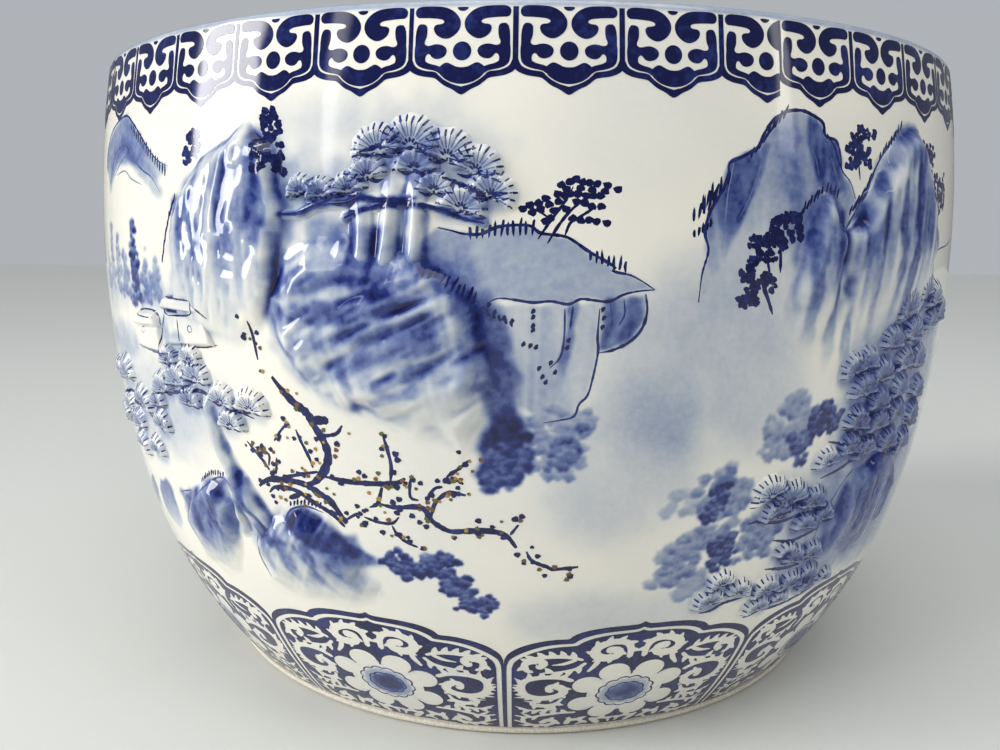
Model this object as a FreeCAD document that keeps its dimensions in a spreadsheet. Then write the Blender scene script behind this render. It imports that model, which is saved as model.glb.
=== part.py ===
import FreeCAD, Part
import math
import os
import Sketcher

# A round porcelain jardiniere: a deep open bowl on a low bare foot ring, thrown in sections
# and dressed with a landscape of clay reliefs that are luted to the outside of the wall.
# Millimetres, +Z up. The origin is the middle of the foot ring's resting face, and angles
# are counted from the front (-Y) round to the right (+X).

os.makedirs("parts", exist_ok=True)
doc = FreeCAD.newDocument("jardiniere")

# Driving sizes
driving_sizes = [
    ("bowl_height", 300),
    ("belly_radius", 230.5),
    ("belly_height", 210),
    ("shoulder_radius", 500),
    ("base_radius", 250),
    ("belly_joint_height", 100),
    ("rim_section_height", 32),
    ("wall_thickness", 11),
    ("lip_thickness", 8),
    ("lip_rounding", 3.6),
    ("floor_thickness", 14),
    ("floor_rounding", 28),
    ("foot_height", 4),
    ("foot_width", 20),
    ("foot_rounding", 1.4),
    ("recess_height", 10),
    ("relief_lift", 6),
    ("relief_root", 2.5),
    ("bough_radius", 2.8),
    ("trunk_radius", 6.5),
]

sheet = doc.addObject("Spreadsheet::Sheet", "Sizes")
for row, (name, value) in enumerate(driving_sizes, 1):
    sheet.set("A%d" % row, name)
    sheet.set("B%d" % row, str(value))
    sheet.setAlias("B%d" % row, name)
doc.recompute()


def worked_out(formula):
    """Value of a formula in the sheet's names."""
    return float(sheet.evalExpression(formula))


def with_sheet(formula):
    """The same formula, as an object outside the sheet has to write it."""
    for name, _ in driving_sizes:
        formula = formula.replace("<%s>" % name, "Sizes." + name)
    return formula


# The wall's outline is two tangent arcs: a flat shoulder arc above the belly joint, and a
# tighter base arc below it. A face that lies inset inside the outside wall has the same
# centres and smaller radii. Each formula gives a radius or a height in the sheet's names.
JOINT_SINE = "((<belly_height> - <belly_joint_height>) / <shoulder_radius>)"
JOINT_COSINE = "sqrt(1 - %s ^ 2)" % JOINT_SINE
SHOULDER_CENTRE = "(<belly_radius> - <shoulder_radius>)"
BASE_CENTRE = "(%s + (<shoulder_radius> - <base_radius>) * %s)" % (SHOULDER_CENTRE, JOINT_COSINE)
BASE_CENTRE_HEIGHT = "(<belly_height> - (<shoulder_radius> - <base_radius>) * %s)" % JOINT_SINE


def shoulder(height, inset="0"):
    """Radius of the shoulder arc at a height."""
    arc = "(<shoulder_radius> - %s)" % inset
    return "%s + sqrt(%s ^ 2 - (%s - <belly_height>) ^ 2)" % (SHOULDER_CENTRE, arc, height)


def base(height, inset="0"):
    """Radius of the base arc at a height."""
    arc = "(<base_radius> - %s)" % inset
    return "%s + sqrt(%s ^ 2 - (%s - %s) ^ 2)" % (BASE_CENTRE, arc, height, BASE_CENTRE_HEIGHT)


def origin_plane(body, role):
    return [plane for plane in body.Origin.OriginFeatures if plane.Role == role][0]


def arc_between(start, end, radius):
    """Minor arc from start to end whose centre lies towards the axis, and whether it runs on."""
    middle = (start + end) * 0.5
    half = (end - start) * 0.5
    reach = math.sqrt(radius ** 2 - half.Length ** 2)
    across = FreeCAD.Vector(half.y, -half.x, 0).normalize()
    if across.x > 0:
        across = -across
    centre = middle + across * reach
    first = math.atan2(start.y - centre.y, start.x - centre.x)
    last = math.atan2(end.y - centre.y, end.x - centre.x)
    circle = Part.Circle(centre, FreeCAD.Vector(0, 0, 1), radius)
    if last > first:
        return Part.ArcOfCircle(circle, first, last), True
    return Part.ArcOfCircle(circle, last, first), False


def profile(body, name, corners, bends):
    """Closed profile in the plane through the axis. Corners are pairs of formulas, radius and
    height. bends gives, for the side that starts at a corner, the formula of its arc's radius."""
    sketch = body.newObject("Sketcher::SketchObject", name)
    sketch.AttachmentSupport = [(origin_plane(body, "XZ_Plane"), "")]
    sketch.MapMode = "FlatFace"
    points = []
    for radius, height in corners:
        place = (worked_out(with_sheet(radius)), worked_out(with_sheet(height)), 0)
        points.append(FreeCAD.Vector(*place))
    ends = []
    for side, start in enumerate(points):
        end = points[(side + 1) % len(points)]
        if side in bends:
            radius = worked_out(with_sheet(bends[side]))
            curve, runs_on = arc_between(start, end, radius)
            sketch.addGeometry(curve, False)
            number = sketch.addConstraint(Sketcher.Constraint("Radius", side, radius))
            sketch.setExpression("Constraints[%d]" % number, with_sheet(bends[side]))
            ends.append((1, 2) if runs_on else (2, 1))
        else:
            sketch.addGeometry(Part.LineSegment(start, end), False)
            ends.append((1, 2))
    for side, (radius, height) in enumerate(corners):
        following = (side + 1) % len(corners)
        join = ("Coincident", side, ends[side][1], following, ends[following][0])
        sketch.addConstraint(Sketcher.Constraint(*join))
        here = (side, ends[side][0])
        if radius == "0":
            sketch.addConstraint(Sketcher.Constraint("PointOnObject", *here, -2))
        else:
            number = sketch.addConstraint(
                Sketcher.Constraint("DistanceX", -1, 1, *here, points[side].x))
            sketch.setExpression("Constraints[%d]" % number, with_sheet(radius))
        if height == "0":
            sketch.addConstraint(Sketcher.Constraint("PointOnObject", *here, -1))
        else:
            number = sketch.addConstraint(
                Sketcher.Constraint("DistanceY", -1, 1, *here, points[side].y))
            sketch.setExpression("Constraints[%d]" % number, with_sheet(height))
    return sketch


def turned(name, corners, bends):
    """A body thrown on the wheel: the profile turned once round the axis."""
    body = doc.addObject("PartDesign::Body", name)
    body.Label = name
    sketch = profile(body, name + "_profile", corners, bends)
    turn = body.newObject("PartDesign::Revolution", name + "_turn")
    turn.Profile = sketch
    turn.ReferenceAxis = (sketch, ["V_Axis"])
    turn.Angle = 360
    sketch.Visibility = False
    doc.recompute()
    return body, turn


def soften(body, turn, places, rounding):
    """Round the circular edges that lie at the given radii and heights."""
    names = []
    for radius, height in places:
        wanted = (worked_out(with_sheet(radius)), worked_out(with_sheet(height)))
        for number, edge in enumerate(turn.Shape.Edges, 1):
            if not isinstance(edge.Curve, Part.Circle):
                continue
            found = (edge.Curve.Radius, edge.Curve.Center.z)
            if math.dist(found, wanted) < worked_out(with_sheet("<foot_rounding>")) * 0.01:
                names.append("Edge%d" % number)
    fillet = body.newObject("PartDesign::Fillet", turn.Name + "_edges")
    fillet.Base = (turn, names)
    fillet.setExpression("Radius", with_sheet(rounding))
    doc.recompute()


# The thrown sections, from the floor up
foot_outside = base("<foot_height>")
foot_inside = "%s - <foot_width>" % foot_outside
floor_height = "<recess_height> + <floor_thickness>"
rim_joint_height = "(<bowl_height> - <rim_section_height>)"
joint_inside = base("<belly_joint_height>", "<wall_thickness>")
floor_inside = base("(%s)" % floor_height, "<wall_thickness>")

foot_corners = [
    (foot_inside, "0"),
    (foot_outside, "0"),
    (foot_outside, "<foot_height>"),
    (foot_inside, "<foot_height>"),
]
foot_ring, foot_turn = turned("foot_ring", foot_corners, {})
soften(foot_ring, foot_turn, [foot_corners[0], foot_corners[1]], "<foot_rounding>")

bowl_corners = [
    ("0", "<recess_height>"),
    (foot_inside, "<recess_height>"),
    (foot_inside, "<foot_height>"),
    (foot_outside, "<foot_height>"),
    (base("<belly_joint_height>"), "<belly_joint_height>"),
    (joint_inside, "<belly_joint_height>"),
    (floor_inside, floor_height),
    ("0", floor_height),
]
bowl_bends = {3: "<base_radius>", 5: "<base_radius> - <wall_thickness>"}
lower_bowl, lower_turn = turned("lower_bowl", bowl_corners, bowl_bends)
soften(lower_bowl, lower_turn, [(floor_inside, floor_height)], "<floor_rounding>")

wall_corners = [
    (shoulder("<belly_joint_height>"), "<belly_joint_height>"),
    (shoulder(rim_joint_height), rim_joint_height),
    (shoulder(rim_joint_height, "<wall_thickness>"), rim_joint_height),
    (joint_inside, "<belly_joint_height>"),
]
wall_bends = {0: "<shoulder_radius>", 2: "<shoulder_radius> - <wall_thickness>"}
upper_wall, wall_turn = turned("upper_wall", wall_corners, wall_bends)

rim_corners = [
    (shoulder(rim_joint_height), rim_joint_height),
    (shoulder("<bowl_height>"), "<bowl_height>"),
    (shoulder("<bowl_height>") + " - <lip_thickness>", "<bowl_height>"),
    (shoulder(rim_joint_height, "<wall_thickness>"), rim_joint_height),
]
rim_lip, rim_turn = turned("rim_lip", rim_corners, {0: "<shoulder_radius>"})
soften(rim_lip, rim_turn, [rim_corners[1], rim_corners[2]], "<lip_rounding>")


# Places on the outside wall are an angle and a climb, the length up the wall's own curve
shoulder_arc = worked_out(with_sheet("<shoulder_radius>"))
base_arc = worked_out(with_sheet("<base_radius>"))
shoulder_centre = (worked_out(with_sheet(SHOULDER_CENTRE)), worked_out("Sizes.belly_height"))
base_centre = (worked_out(with_sheet(BASE_CENTRE)), worked_out(with_sheet(BASE_CENTRE_HEIGHT)))
joint_tilt = math.asin(worked_out(with_sheet(JOINT_SINE)))
foot_tilt = math.asin(base_centre[1] / base_arc)
top_tilt = math.asin(worked_out("Sizes.bowl_height - Sizes.belly_height") / shoulder_arc)
base_climb = base_arc * (foot_tilt - joint_tilt)
whole_climb = base_climb + shoulder_arc * (joint_tilt + top_tilt)
relief_lift = worked_out("Sizes.relief_lift")
relief_root = worked_out("Sizes.relief_root")


def on_wall(angle, climb_share, lift):
    """Point at an angle in degrees, a share of the climb, and a lift square off the wall."""
    climb = climb_share * whole_climb
    if climb < base_climb:
        centre, arc = base_centre, base_arc
        tilt = climb / base_arc - foot_tilt
    else:
        centre, arc = shoulder_centre, shoulder_arc
        tilt = (climb - base_climb) / shoulder_arc - joint_tilt
    radius = centre[0] + (arc + lift) * math.cos(tilt)
    height = centre[1] + (arc + lift) * math.sin(tilt)
    turn = math.radians(angle)
    return FreeCAD.Vector(radius * math.sin(turn), -radius * math.cos(turn), height)


# The wall as one solid lump, which trims the back of every relief to the wall's own curve
wall_core = doc.addObject("Part::Feature", "wall_core")
core_points = [on_wall(90, 0, 0), on_wall(90, base_climb / whole_climb, 0), on_wall(90, 1, 0)]
core_middles = [
    on_wall(90, 0.5 * base_climb / whole_climb, 0),
    on_wall(90, 0.5 + 0.5 * base_climb / whole_climb, 0),
]
core_edges = [
    Part.Arc(core_points[0], core_middles[0], core_points[1]).toShape(),
    Part.Arc(core_points[1], core_middles[1], core_points[2]).toShape(),
    Part.makeLine(core_points[2], FreeCAD.Vector(0, 0, core_points[2].z)),
    Part.makeLine(FreeCAD.Vector(0, 0, core_points[2].z), FreeCAD.Vector(0, 0, 0)),
    Part.makeLine(FreeCAD.Vector(0, 0, 0), core_points[0]),
]
core_face = Part.Face(Part.Wire(core_edges))
wall_core.Shape = core_face.revolve(FreeCAD.Vector(0, 0, 0), FreeCAD.Vector(0, 0, 1), 360)


def closed_solid(faces):
    """Solid inside a closed set of faces, turned outside out."""
    solid = Part.makeSolid(Part.makeShell(faces))
    if solid.Volume < 0:
        solid.reverse()
    return solid


def modelled(rows):
    """Faceted lump over rows of places (angle, climb share, lift share). A lift share of None
    marks the border, which is rooted inside the wall."""
    points = []
    for places in rows:
        row = []
        for angle, climb_share, lift_share in places:
            lift = -relief_root if lift_share is None else relief_lift * lift_share
            row.append(on_wall(angle, climb_share, lift))
        points.append(row)
    faces = []
    for lower, upper in zip(points, points[1:]):
        for left in range(len(lower) - 1):
            corners = (lower[left], lower[left + 1], upper[left + 1], upper[left])
            for picked in ((0, 1, 2), (0, 2, 3)):
                triangle = [corners[corner] for corner in picked]
                faces.append(Part.Face(Part.makePolygon(triangle + triangle[:1])))
    border = points[0] + [row[-1] for row in points[1:-1]]
    border = border + points[-1][::-1] + [row[0] for row in points[-2:0:-1]]
    angles = [places[0][0] for places in rows] + [places[-1][0] for places in rows]
    climbs = [rows[0][0][1], rows[-1][0][1]]
    back = on_wall(sum(angles) / len(angles), sum(climbs) / len(climbs), -3 * relief_root)
    for start, end in zip(border, border[1:] + border[:1]):
        faces.append(Part.Face(Part.makePolygon([start, end, back, start])))
    return closed_solid(faces)


seated = []


def luted(name, blank_shape):
    """A relief with its own label. Its back is cut to seat on the wall, and on each relief
    that was luted on before it and that it runs over."""
    blank = doc.addObject("Part::Feature", name + "_blank")
    blank.Shape = blank_shape
    under = [wall_core] + [earlier for earlier in seated
                           if earlier.Shape.BoundBox.intersect(blank_shape.BoundBox)
                           and earlier.Shape.common(blank_shape).Volume > 0]
    relief = blank
    for number, support in enumerate(under, 1):
        last = number == len(under)
        seat = doc.addObject("Part::Cut", name if last else name + "_seat_%d" % number)
        seat.Base = relief
        seat.Tool = support
        doc.recompute()
        relief = seat
    relief.Label = name
    seated.append(relief)
    return relief


# Crags: an outline of steps up the wall (left angle, right angle, climb share, lift share),
# with flutes that run down the face, ridge and gully by turns
crags = {
    "centre_cliff_relief": (8, 0.5, [
        (-15, -5, 0.475, 0),
        (-18.5, -3, 0.52, 0.7),
        (-20, -2, 0.575, 1.0),
        (-21, -1.5, 0.635, 0.85),
        (-21, -2.5, 0.695, 0.95),
        (-19, -5, 0.735, 0.7),
        (-16, -8, 0.757, 0),
    ]),
    "left_peak_relief": (6, 0.5, [
        (-34, -22.5, 0.62, 0),
        (-36.5, -21.5, 0.68, 0.6),
        (-36, -21, 0.75, 0.9),
        (-34, -22, 0.815, 1.0),
        (-31, -23.5, 0.865, 0.8),
        (-28.5, -25.5, 0.89, 0),
    ]),
    "right_peak_relief": (8, 0.45, [
        (34, 46, 0.61, 0),
        (32.5, 49, 0.68, 0.6),
        (32, 50.5, 0.75, 0.85),
        (33.5, 49.5, 0.81, 1.0),
        (36.5, 47.5, 0.86, 0.85),
        (41, 45.5, 0.895, 0),
    ]),
    "right_spur_relief": (4, 0.5, [
        (26.5, 31, 0.615, 0),
        (25, 32, 0.68, 0.6),
        (26, 32, 0.745, 0.75),
        (28.5, 32, 0.785, 0.55),
        (30, 31.5, 0.81, 0),
    ]),
    "shore_rock_left": (4, 0.6, [
        (-41, -35, 0.265, 0),
        (-43, -33.5, 0.305, 0.7),
        (-43, -33, 0.355, 0.9),
        (-40.5, -32.5, 0.4, 0.7),
        (-37, -33.5, 0.43, 0),
    ]),
    "shore_rock_centre": (6, 0.55, [
        (-28, -16, 0.26, 0),
        (-31, -14, 0.3, 0.8),
        (-31, -14.5, 0.345, 1.0),
        (-28.5, -17, 0.385, 0.8),
        (-25.5, -20, 0.415, 0),
    ]),
    "right_rock_relief": (6, 0.55, [
        (36, 47, 0.295, 0),
        (35, 51, 0.34, 0.7),
        (36, 51, 0.39, 0.9),
        (38, 50, 0.435, 0.7),
        (41, 47, 0.47, 0),
    ]),
    "back_peak_relief": (8, 0.45, [
        (160, 180, 0.62, 0),
        (158, 183, 0.69, 0.6),
        (161, 182, 0.76, 0.9),
        (164, 180, 0.83, 1.0),
        (169, 176, 0.875, 0),
    ]),
    "back_cliff_relief": (8, 0.5, [
        (196, 212, 0.49, 0),
        (192, 215, 0.55, 0.8),
        (192, 216, 0.62, 1.0),
        (195, 214, 0.68, 0.8),
        (199, 210, 0.72, 0),
    ]),
    "back_shore_rock": (6, 0.55, [
        (168, 186, 0.27, 0),
        (165, 190, 0.32, 0.8),
        (167, 188, 0.37, 1.0),
        (171, 184, 0.42, 0),
    ]),
}
ridge_turn_share = 0.07


def crag(flutes, gully_share, steps):
    """Rows of places over a fluted crag. Ridges and gullies follow by turns across it and
    shift sideways from step to step, so that they lean as they climb."""
    rows = []
    for step, (left, right, climb_share, lift_share) in enumerate(steps):
        row = []
        for column in range(flutes + 1):
            across = column / flutes
            angle = left + (right - left) * across
            ridge = abs(math.sin(math.pi / 2 * (column + step * ridge_turn_share)))
            depth = gully_share + (1 - gully_share) * ridge
            on_border = lift_share == 0 or column in (0, flutes)
            row.append((angle, climb_share, None if on_border else lift_share * depth))
        rows.append(row)
    return rows


crag_cuts = []
for crag_name, (flutes, gully_share, steps) in crags.items():
    crag_cuts.append(luted(crag_name, modelled(crag(flutes, gully_share, steps))))


# Pines: boughs that carry scalloped fans of needles. Each pine has a root (angle, climb share)
# and fans beside it (across, up and radius as shares of the belly), so that it keeps its
# shape on a bowl of another height. A fan opens upwards from its hub, ribbed like a shell.
fan_ribs = 8
rib_share = 1.0
gap_share = 0.62
rib_reach_share = 0.82
hub_lift_share = 0.75
bough_taper_share = 0.8
belly_radius = worked_out("Sizes.belly_radius")
bough_radius = worked_out("Sizes.bough_radius")
trunk_radius = worked_out("Sizes.trunk_radius")


def beside(angle, climb_share, across, up):
    """Place that lies so far across and up the wall from another, in millimetres."""
    return angle + math.degrees(across / belly_radius), climb_share + up / whole_climb


def needle_fan(angle, climb_share, radius):
    """Scalloped fan: a hub, a ring of ribs and gullies, and a border rooted in the wall."""
    hub = on_wall(angle, climb_share, relief_lift * hub_lift_share)
    ribs = []
    border = []
    for rib in range(fan_ribs + 1):
        lean = math.pi * rib / fan_ribs
        across = -math.cos(lean) * radius
        up = math.sin(lean) * radius
        share = rib_share if rib % 2 == 1 else gap_share
        half_way = (across * rib_reach_share, up * rib_reach_share)
        ribs.append(on_wall(*beside(angle, climb_share, *half_way), relief_lift * share))
        border.append(on_wall(*beside(angle, climb_share, across, up), -relief_root))
    heel = on_wall(*beside(angle, climb_share, 0, -radius / fan_ribs), -relief_root)
    back = on_wall(*beside(angle, climb_share, 0, radius / 2), -3 * relief_root)
    triangles = []
    for rib in range(fan_ribs):
        triangles.append((hub, ribs[rib], ribs[rib + 1]))
        triangles.append((ribs[rib], border[rib], border[rib + 1]))
        triangles.append((ribs[rib], border[rib + 1], ribs[rib + 1]))
        triangles.append((border[rib], back, border[rib + 1]))
    for end in (0, -1):
        triangles.append((hub, ribs[end], border[end]))
        triangles.append((hub, border[end], heel))
        triangles.append((border[end], back, heel))
    faces = [Part.Face(Part.makePolygon([*corners, corners[0]])) for corners in triangles]
    return closed_solid(faces)


def limb(start, end, thick, thin, stand=0):
    """Tapered limb from one place on the wall to another, half sunk in the wall. Where it
    starts on a crag, stand is how far its middle is lifted there."""
    low = on_wall(*start, stand)
    high = on_wall(*end, 0)
    run = high - low
    return Part.makeCone(thick, thin, run.Length, low, run)


pines = {
    "centre_pine_crown": (-9.8, 0.812, [
        (-0.187, -0.061, 0.036), (-0.126, -0.049, 0.048), (-0.065, -0.027, 0.05),
        (0, 0, 0.078), (0.08, -0.005, 0.052), (0.126, -0.03, 0.044), (0.066, -0.057, 0.04),
    ]),
    "left_pine_upper_pads": (-32, 0.575, [
        (-0.175, -0.041, 0.048), (-0.13, 0.02, 0.036), (-0.07, 0.026, 0.036),
        (-0.096, -0.018, 0.05), (-0.085, -0.06, 0.036), (0, 0, 0.045), (0.079, -0.054, 0.045),
        (0.026, -0.082, 0.04),
    ]),
    "left_pine_lower_pads": (-52.5, 0.545, [
        (0.165, -0.033, 0.036), (0.07, -0.054, 0.048), (0, 0, 0.05), (-0.087, -0.02, 0.048),
        (-0.11, -0.11, 0.04), (-0.05, -0.07, 0.042), (0.026, -0.122, 0.045),
        (-0.01, -0.155, 0.038), (0.113, -0.149, 0.042), (0.14, -0.08, 0.038),
    ]),
    "right_pine_upper_pads": (46.3, 0.657, [
        (0.079, 0.014, 0.048), (0, 0, 0.052), (-0.079, -0.054, 0.045), (-0.166, -0.082, 0.048),
        (-0.201, -0.136, 0.04), (-0.11, -0.1, 0.042), (-0.035, -0.09, 0.044),
        (0.045, -0.085, 0.044), (0.07, -0.035, 0.044),
    ]),
    "right_pine_middle_pads": (41, 0.52, [
        (0.15, 0.045, 0.045), (0.087, 0.034, 0.048), (0, 0, 0.052), (-0.07, -0.057, 0.048),
        (-0.14, -0.088, 0.042), (-0.03, -0.075, 0.04), (0.05, -0.065, 0.042),
        (0.125, -0.02, 0.045),
    ]),
    "right_pine_lower_pads": (28.5, 0.405, [
        (-0.05, 0.045, 0.035), (0.005, 0.04, 0.04), (0.058, 0.012, 0.036), (0, 0, 0.05),
        (0.044, -0.061, 0.045), (0.1, -0.06, 0.034), (0.026, -0.118, 0.045),
        (-0.044, -0.14, 0.05), (-0.113, -0.173, 0.048), (0, -0.2, 0.036),
        (0.062, -0.17, 0.04), (0.125, -0.16, 0.04), (0.18, -0.18, 0.036),
    ]),
    "back_pine_crown": (202, 0.785, [
        (-0.183, -0.054, 0.04), (-0.096, -0.027, 0.052), (0, 0, 0.062), (0.096, -0.027, 0.05),
        (0.175, -0.048, 0.042),
    ]),
    "back_pine_pads": (231.4, 0.557, [
        (-0.087, -0.02, 0.05), (0, 0, 0.052), (0.087, -0.048, 0.048), (0.157, -0.102, 0.045),
    ]),
    "side_pine_pads": (109, 0.52, [
        (-0.087, -0.027, 0.05), (0, 0, 0.052), (0.087, -0.048, 0.048), (0.157, -0.095, 0.045),
    ]),
}


def off(root, across_share, up_share):
    """Place that lies so far across and up from a pine's root, as shares of the belly."""
    return beside(*root, across_share * belly_radius, up_share * belly_radius)


pine_cuts = []
for pine_name, (root_angle, root_share, fans) in pines.items():
    root = (root_angle, root_share)
    hubs = [off(root, across_share, up_share) for across_share, up_share, _ in fans]
    sizes = [size_share * belly_radius for _, _, size_share in fans]
    pieces = [needle_fan(*hub, size) for hub, size in zip(hubs, sizes)]
    for start, end in zip(hubs, hubs[1:]):
        pieces.append(limb(start, end, bough_radius, bough_radius * bough_taper_share))
    pine = pieces[0].multiFuse(pieces[1:])
    pine_cuts.append(luted(pine_name, pine))


# Bare leaning trunks, each with the pine that it carries and tapered limbs placed from that
# pine's root (start and end as shares of the belly, thick and thin as shares of the trunk's
# radius, and the lift of its start as a share of the reliefs' lift)
trunks = {
    "centre_pine_trunk": ("centre_pine_crown", [
        ((-0.056, -0.15), (-0.012, -0.004), 1.0, 0.4, 0.8),
        ((-0.056, -0.15), (-0.096, -0.038), 0.8, 0.4, 0.8),
    ]),
    "left_pine_trunk": ("left_pine_upper_pads", [
        ((0.061, -0.285), (0.017, -0.197), 1.0, 0.8, 0),
        ((0.027, -0.216), (-0.027, -0.061), 0.76, 0.5, 0),
    ]),
    "back_pine_trunk": ("back_pine_crown", [
        ((0.052, -0.115), (0.008, -0.013), 1.0, 0.65, 0),
    ]),
}


def trunk(pine_name, limbs):
    root = pines[pine_name][:2]
    pieces = []
    for start, end, thick_share, thin_share, stand_share in limbs:
        sizes = (trunk_radius * thick_share, trunk_radius * thin_share)
        stand = relief_lift * stand_share
        pieces.append(limb(off(root, *start), off(root, *end), *sizes, stand))
    return pieces[0].multiFuse(pieces[1:]) if len(pieces) > 1 else pieces[0]


# The pavilion's two houses: a tiled roof over a low wall, seen from a little above
# (angle of the middle, climb share of the eave, half width, wall drop and roof rise as
# shares of the belly)
houses = {
    "pavilion_gate_relief": (-43.5, 0.605, 0.062, 0.032, 0.026),
    "pavilion_hall_relief": (-35.5, 0.622, 0.055, 0.036, 0.034),
}
wall_width_share = 0.85
wall_lift_share = 0.5
eave_lift_share = 0.95
ridge_lift_share = 0.7
ridge_width_share = 0.72
arris_share = 0.98


def block(angle, climb_share, low, high):
    """Rows of places over a flat-sided block. low and high are its two level edges, each a
    half width, a way up from the place in millimetres, and a lift share."""
    skirt = low[0] * (1 - arris_share)
    under = (low[0], low[1] - skirt, None)
    over = (high[0], high[1] + skirt, None)
    rows = []
    for half_width, up, lift_share in (under, low, high, over):
        row = []
        for column in (-1, -arris_share, arris_share, 1):
            lift = None if abs(column) == 1 else lift_share
            row.append(beside(angle, climb_share, column * half_width, up) + (lift,))
        rows.append(row)
    return rows


def house(angle, climb_share, half_width_share, drop_share, rise_share):
    """A low wall under a tiled roof, as two lumps that run into each other at the eave."""
    half_width = half_width_share * belly_radius
    rise = rise_share * belly_radius
    wall_half = half_width * wall_width_share
    wall_foot = (wall_half, -drop_share * belly_radius, wall_lift_share)
    wall_head = (wall_half, rise * (1 - arris_share), wall_lift_share)
    eave = (half_width, 0, eave_lift_share)
    ridge = (half_width * ridge_width_share, rise, ridge_lift_share)
    walls = modelled(block(angle, climb_share, wall_foot, wall_head))
    return walls.fuse(modelled(block(angle, climb_share, eave, ridge)))


trunk_cuts = [luted(name, trunk(*plan)) for name, plan in trunks.items()]
house_cuts = [luted(name, house(*plan)) for name, plan in houses.items()]

# Every object is checked before anything is written
doc.recompute()
for item in doc.Objects:
    if "Invalid" in item.State or "Error" in item.State:
        raise RuntimeError(item.Name + " failed: " + str(item.State))
pieces = [foot_ring, lower_bowl, upper_wall, rim_lip]
pieces = pieces + crag_cuts + pine_cuts + trunk_cuts + house_cuts
for piece in pieces:
    shape = piece.Shape
    if shape.isNull() or not shape.isValid():
        raise RuntimeError(piece.Label + " has no valid shape")
    print(piece.Label, len(shape.Solids), "solid", round(shape.Volume / 1000, 2), "cm3")
for piece in pieces:
    piece.Shape.exportStep("parts/" + piece.Label + ".step")
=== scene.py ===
import math

import bpy
import numpy as np
from mathutils import Matrix, Vector
from mathutils.geometry import delaunay_2d_cdt


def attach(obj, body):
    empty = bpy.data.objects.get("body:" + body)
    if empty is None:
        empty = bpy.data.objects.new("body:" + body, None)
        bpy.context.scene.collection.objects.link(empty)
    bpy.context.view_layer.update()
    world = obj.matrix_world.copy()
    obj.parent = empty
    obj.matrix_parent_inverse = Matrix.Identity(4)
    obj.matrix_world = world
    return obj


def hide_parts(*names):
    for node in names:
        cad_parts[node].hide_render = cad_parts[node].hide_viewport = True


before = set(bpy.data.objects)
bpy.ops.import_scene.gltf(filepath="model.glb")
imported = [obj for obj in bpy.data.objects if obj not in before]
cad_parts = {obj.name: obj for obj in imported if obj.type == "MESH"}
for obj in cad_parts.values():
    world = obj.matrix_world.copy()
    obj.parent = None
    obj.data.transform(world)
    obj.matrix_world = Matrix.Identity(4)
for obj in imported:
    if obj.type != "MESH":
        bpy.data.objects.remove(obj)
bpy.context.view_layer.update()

# The bowl's outside is two arcs: r = middle + radius cos tilt, z = height + radius sin tilt.
# Places on it are a turn in degrees from the front and a climb in mm along the outside.
shoulder = {"radius": 500.0, "middle": -269.5, "height": 210.0}
base = {"radius": 250.0, "middle": -25.6, "height": 155.0}
beltClimb = 111.73
beltTilt = -0.2218
footClimb = 5.0
rimClimb = 280.8
lipClimb = 309.45


def tiltAt(climb):
    return np.where(climb > beltClimb, (climb - beltClimb) / shoulder["radius"],
                    (climb - beltClimb) / base["radius"]) + beltTilt


def radiusAt(climb):
    climb = np.asarray(climb, float)
    tilt = tiltAt(climb)
    return np.where(climb > beltClimb, shoulder["middle"] + shoulder["radius"] * np.cos(tilt),
                    base["middle"] + base["radius"] * np.cos(tilt))


def heightAt(climb):
    climb = np.asarray(climb, float)
    tilt = tiltAt(climb)
    return np.where(climb > beltClimb, shoulder["height"] + shoulder["radius"] * np.sin(tilt),
                    base["height"] + base["radius"] * np.sin(tilt))


def wallPoint(turn, climb, rise=0.0):
    tilt = tiltAt(np.asarray(climb, float))
    out = radiusAt(climb) + rise * np.cos(tilt)
    up = heightAt(climb) + rise * np.sin(tilt)
    angle = np.radians(turn)
    return np.stack([out * np.sin(angle), -out * np.cos(angle), up + 0 * angle], -1) * 0.001


def ease(value):
    value = np.clip(value, 0.0, 1.0)
    return value * value * (3 - 2 * value)


def smoothNoise(turn, climb, cells, tall, seed):
    # value noise on a lattice that closes round the bowl
    table = np.random.default_rng(seed).random((cells, 97))
    across = (np.asarray(turn, float) % 360.0) / 360.0 * cells
    along = np.asarray(climb, float) / tall + 8
    i = np.floor(across).astype(int)
    j = np.floor(along).astype(int)
    u = across - i
    v = along - j
    u = u * u * (3 - 2 * u)
    v = v * v * (3 - 2 * v)
    low = table[i % cells, j % 97] * (1 - u) + table[(i + 1) % cells, j % 97] * u
    high = table[i % cells, (j + 1) % 97] * (1 - u) + table[(i + 1) % cells, (j + 1) % 97] * u
    return low * (1 - v) + high * v


def foldNoise(across, along, seed):
    # value noise on a square lattice, its places given in cells
    table = np.random.default_rng(seed).random((64, 64))
    i = np.floor(across).astype(int)
    j = np.floor(along).astype(int)
    u = ease(across - i)
    v = ease(along - j)
    low = table[i % 64, j % 64] * (1 - u) + table[(i + 1) % 64, j % 64] * u
    high = table[i % 64, (j + 1) % 64] * (1 - u) + table[(i + 1) % 64, (j + 1) % 64] * u
    return low * (1 - v) + high * v


def flat(points):
    # (turn, climb) to mm across and mm along
    points = np.asarray(points, float)
    return np.stack([np.radians(points[:, 0]) * radiusAt(points[:, 1]), points[:, 1]], -1)


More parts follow.
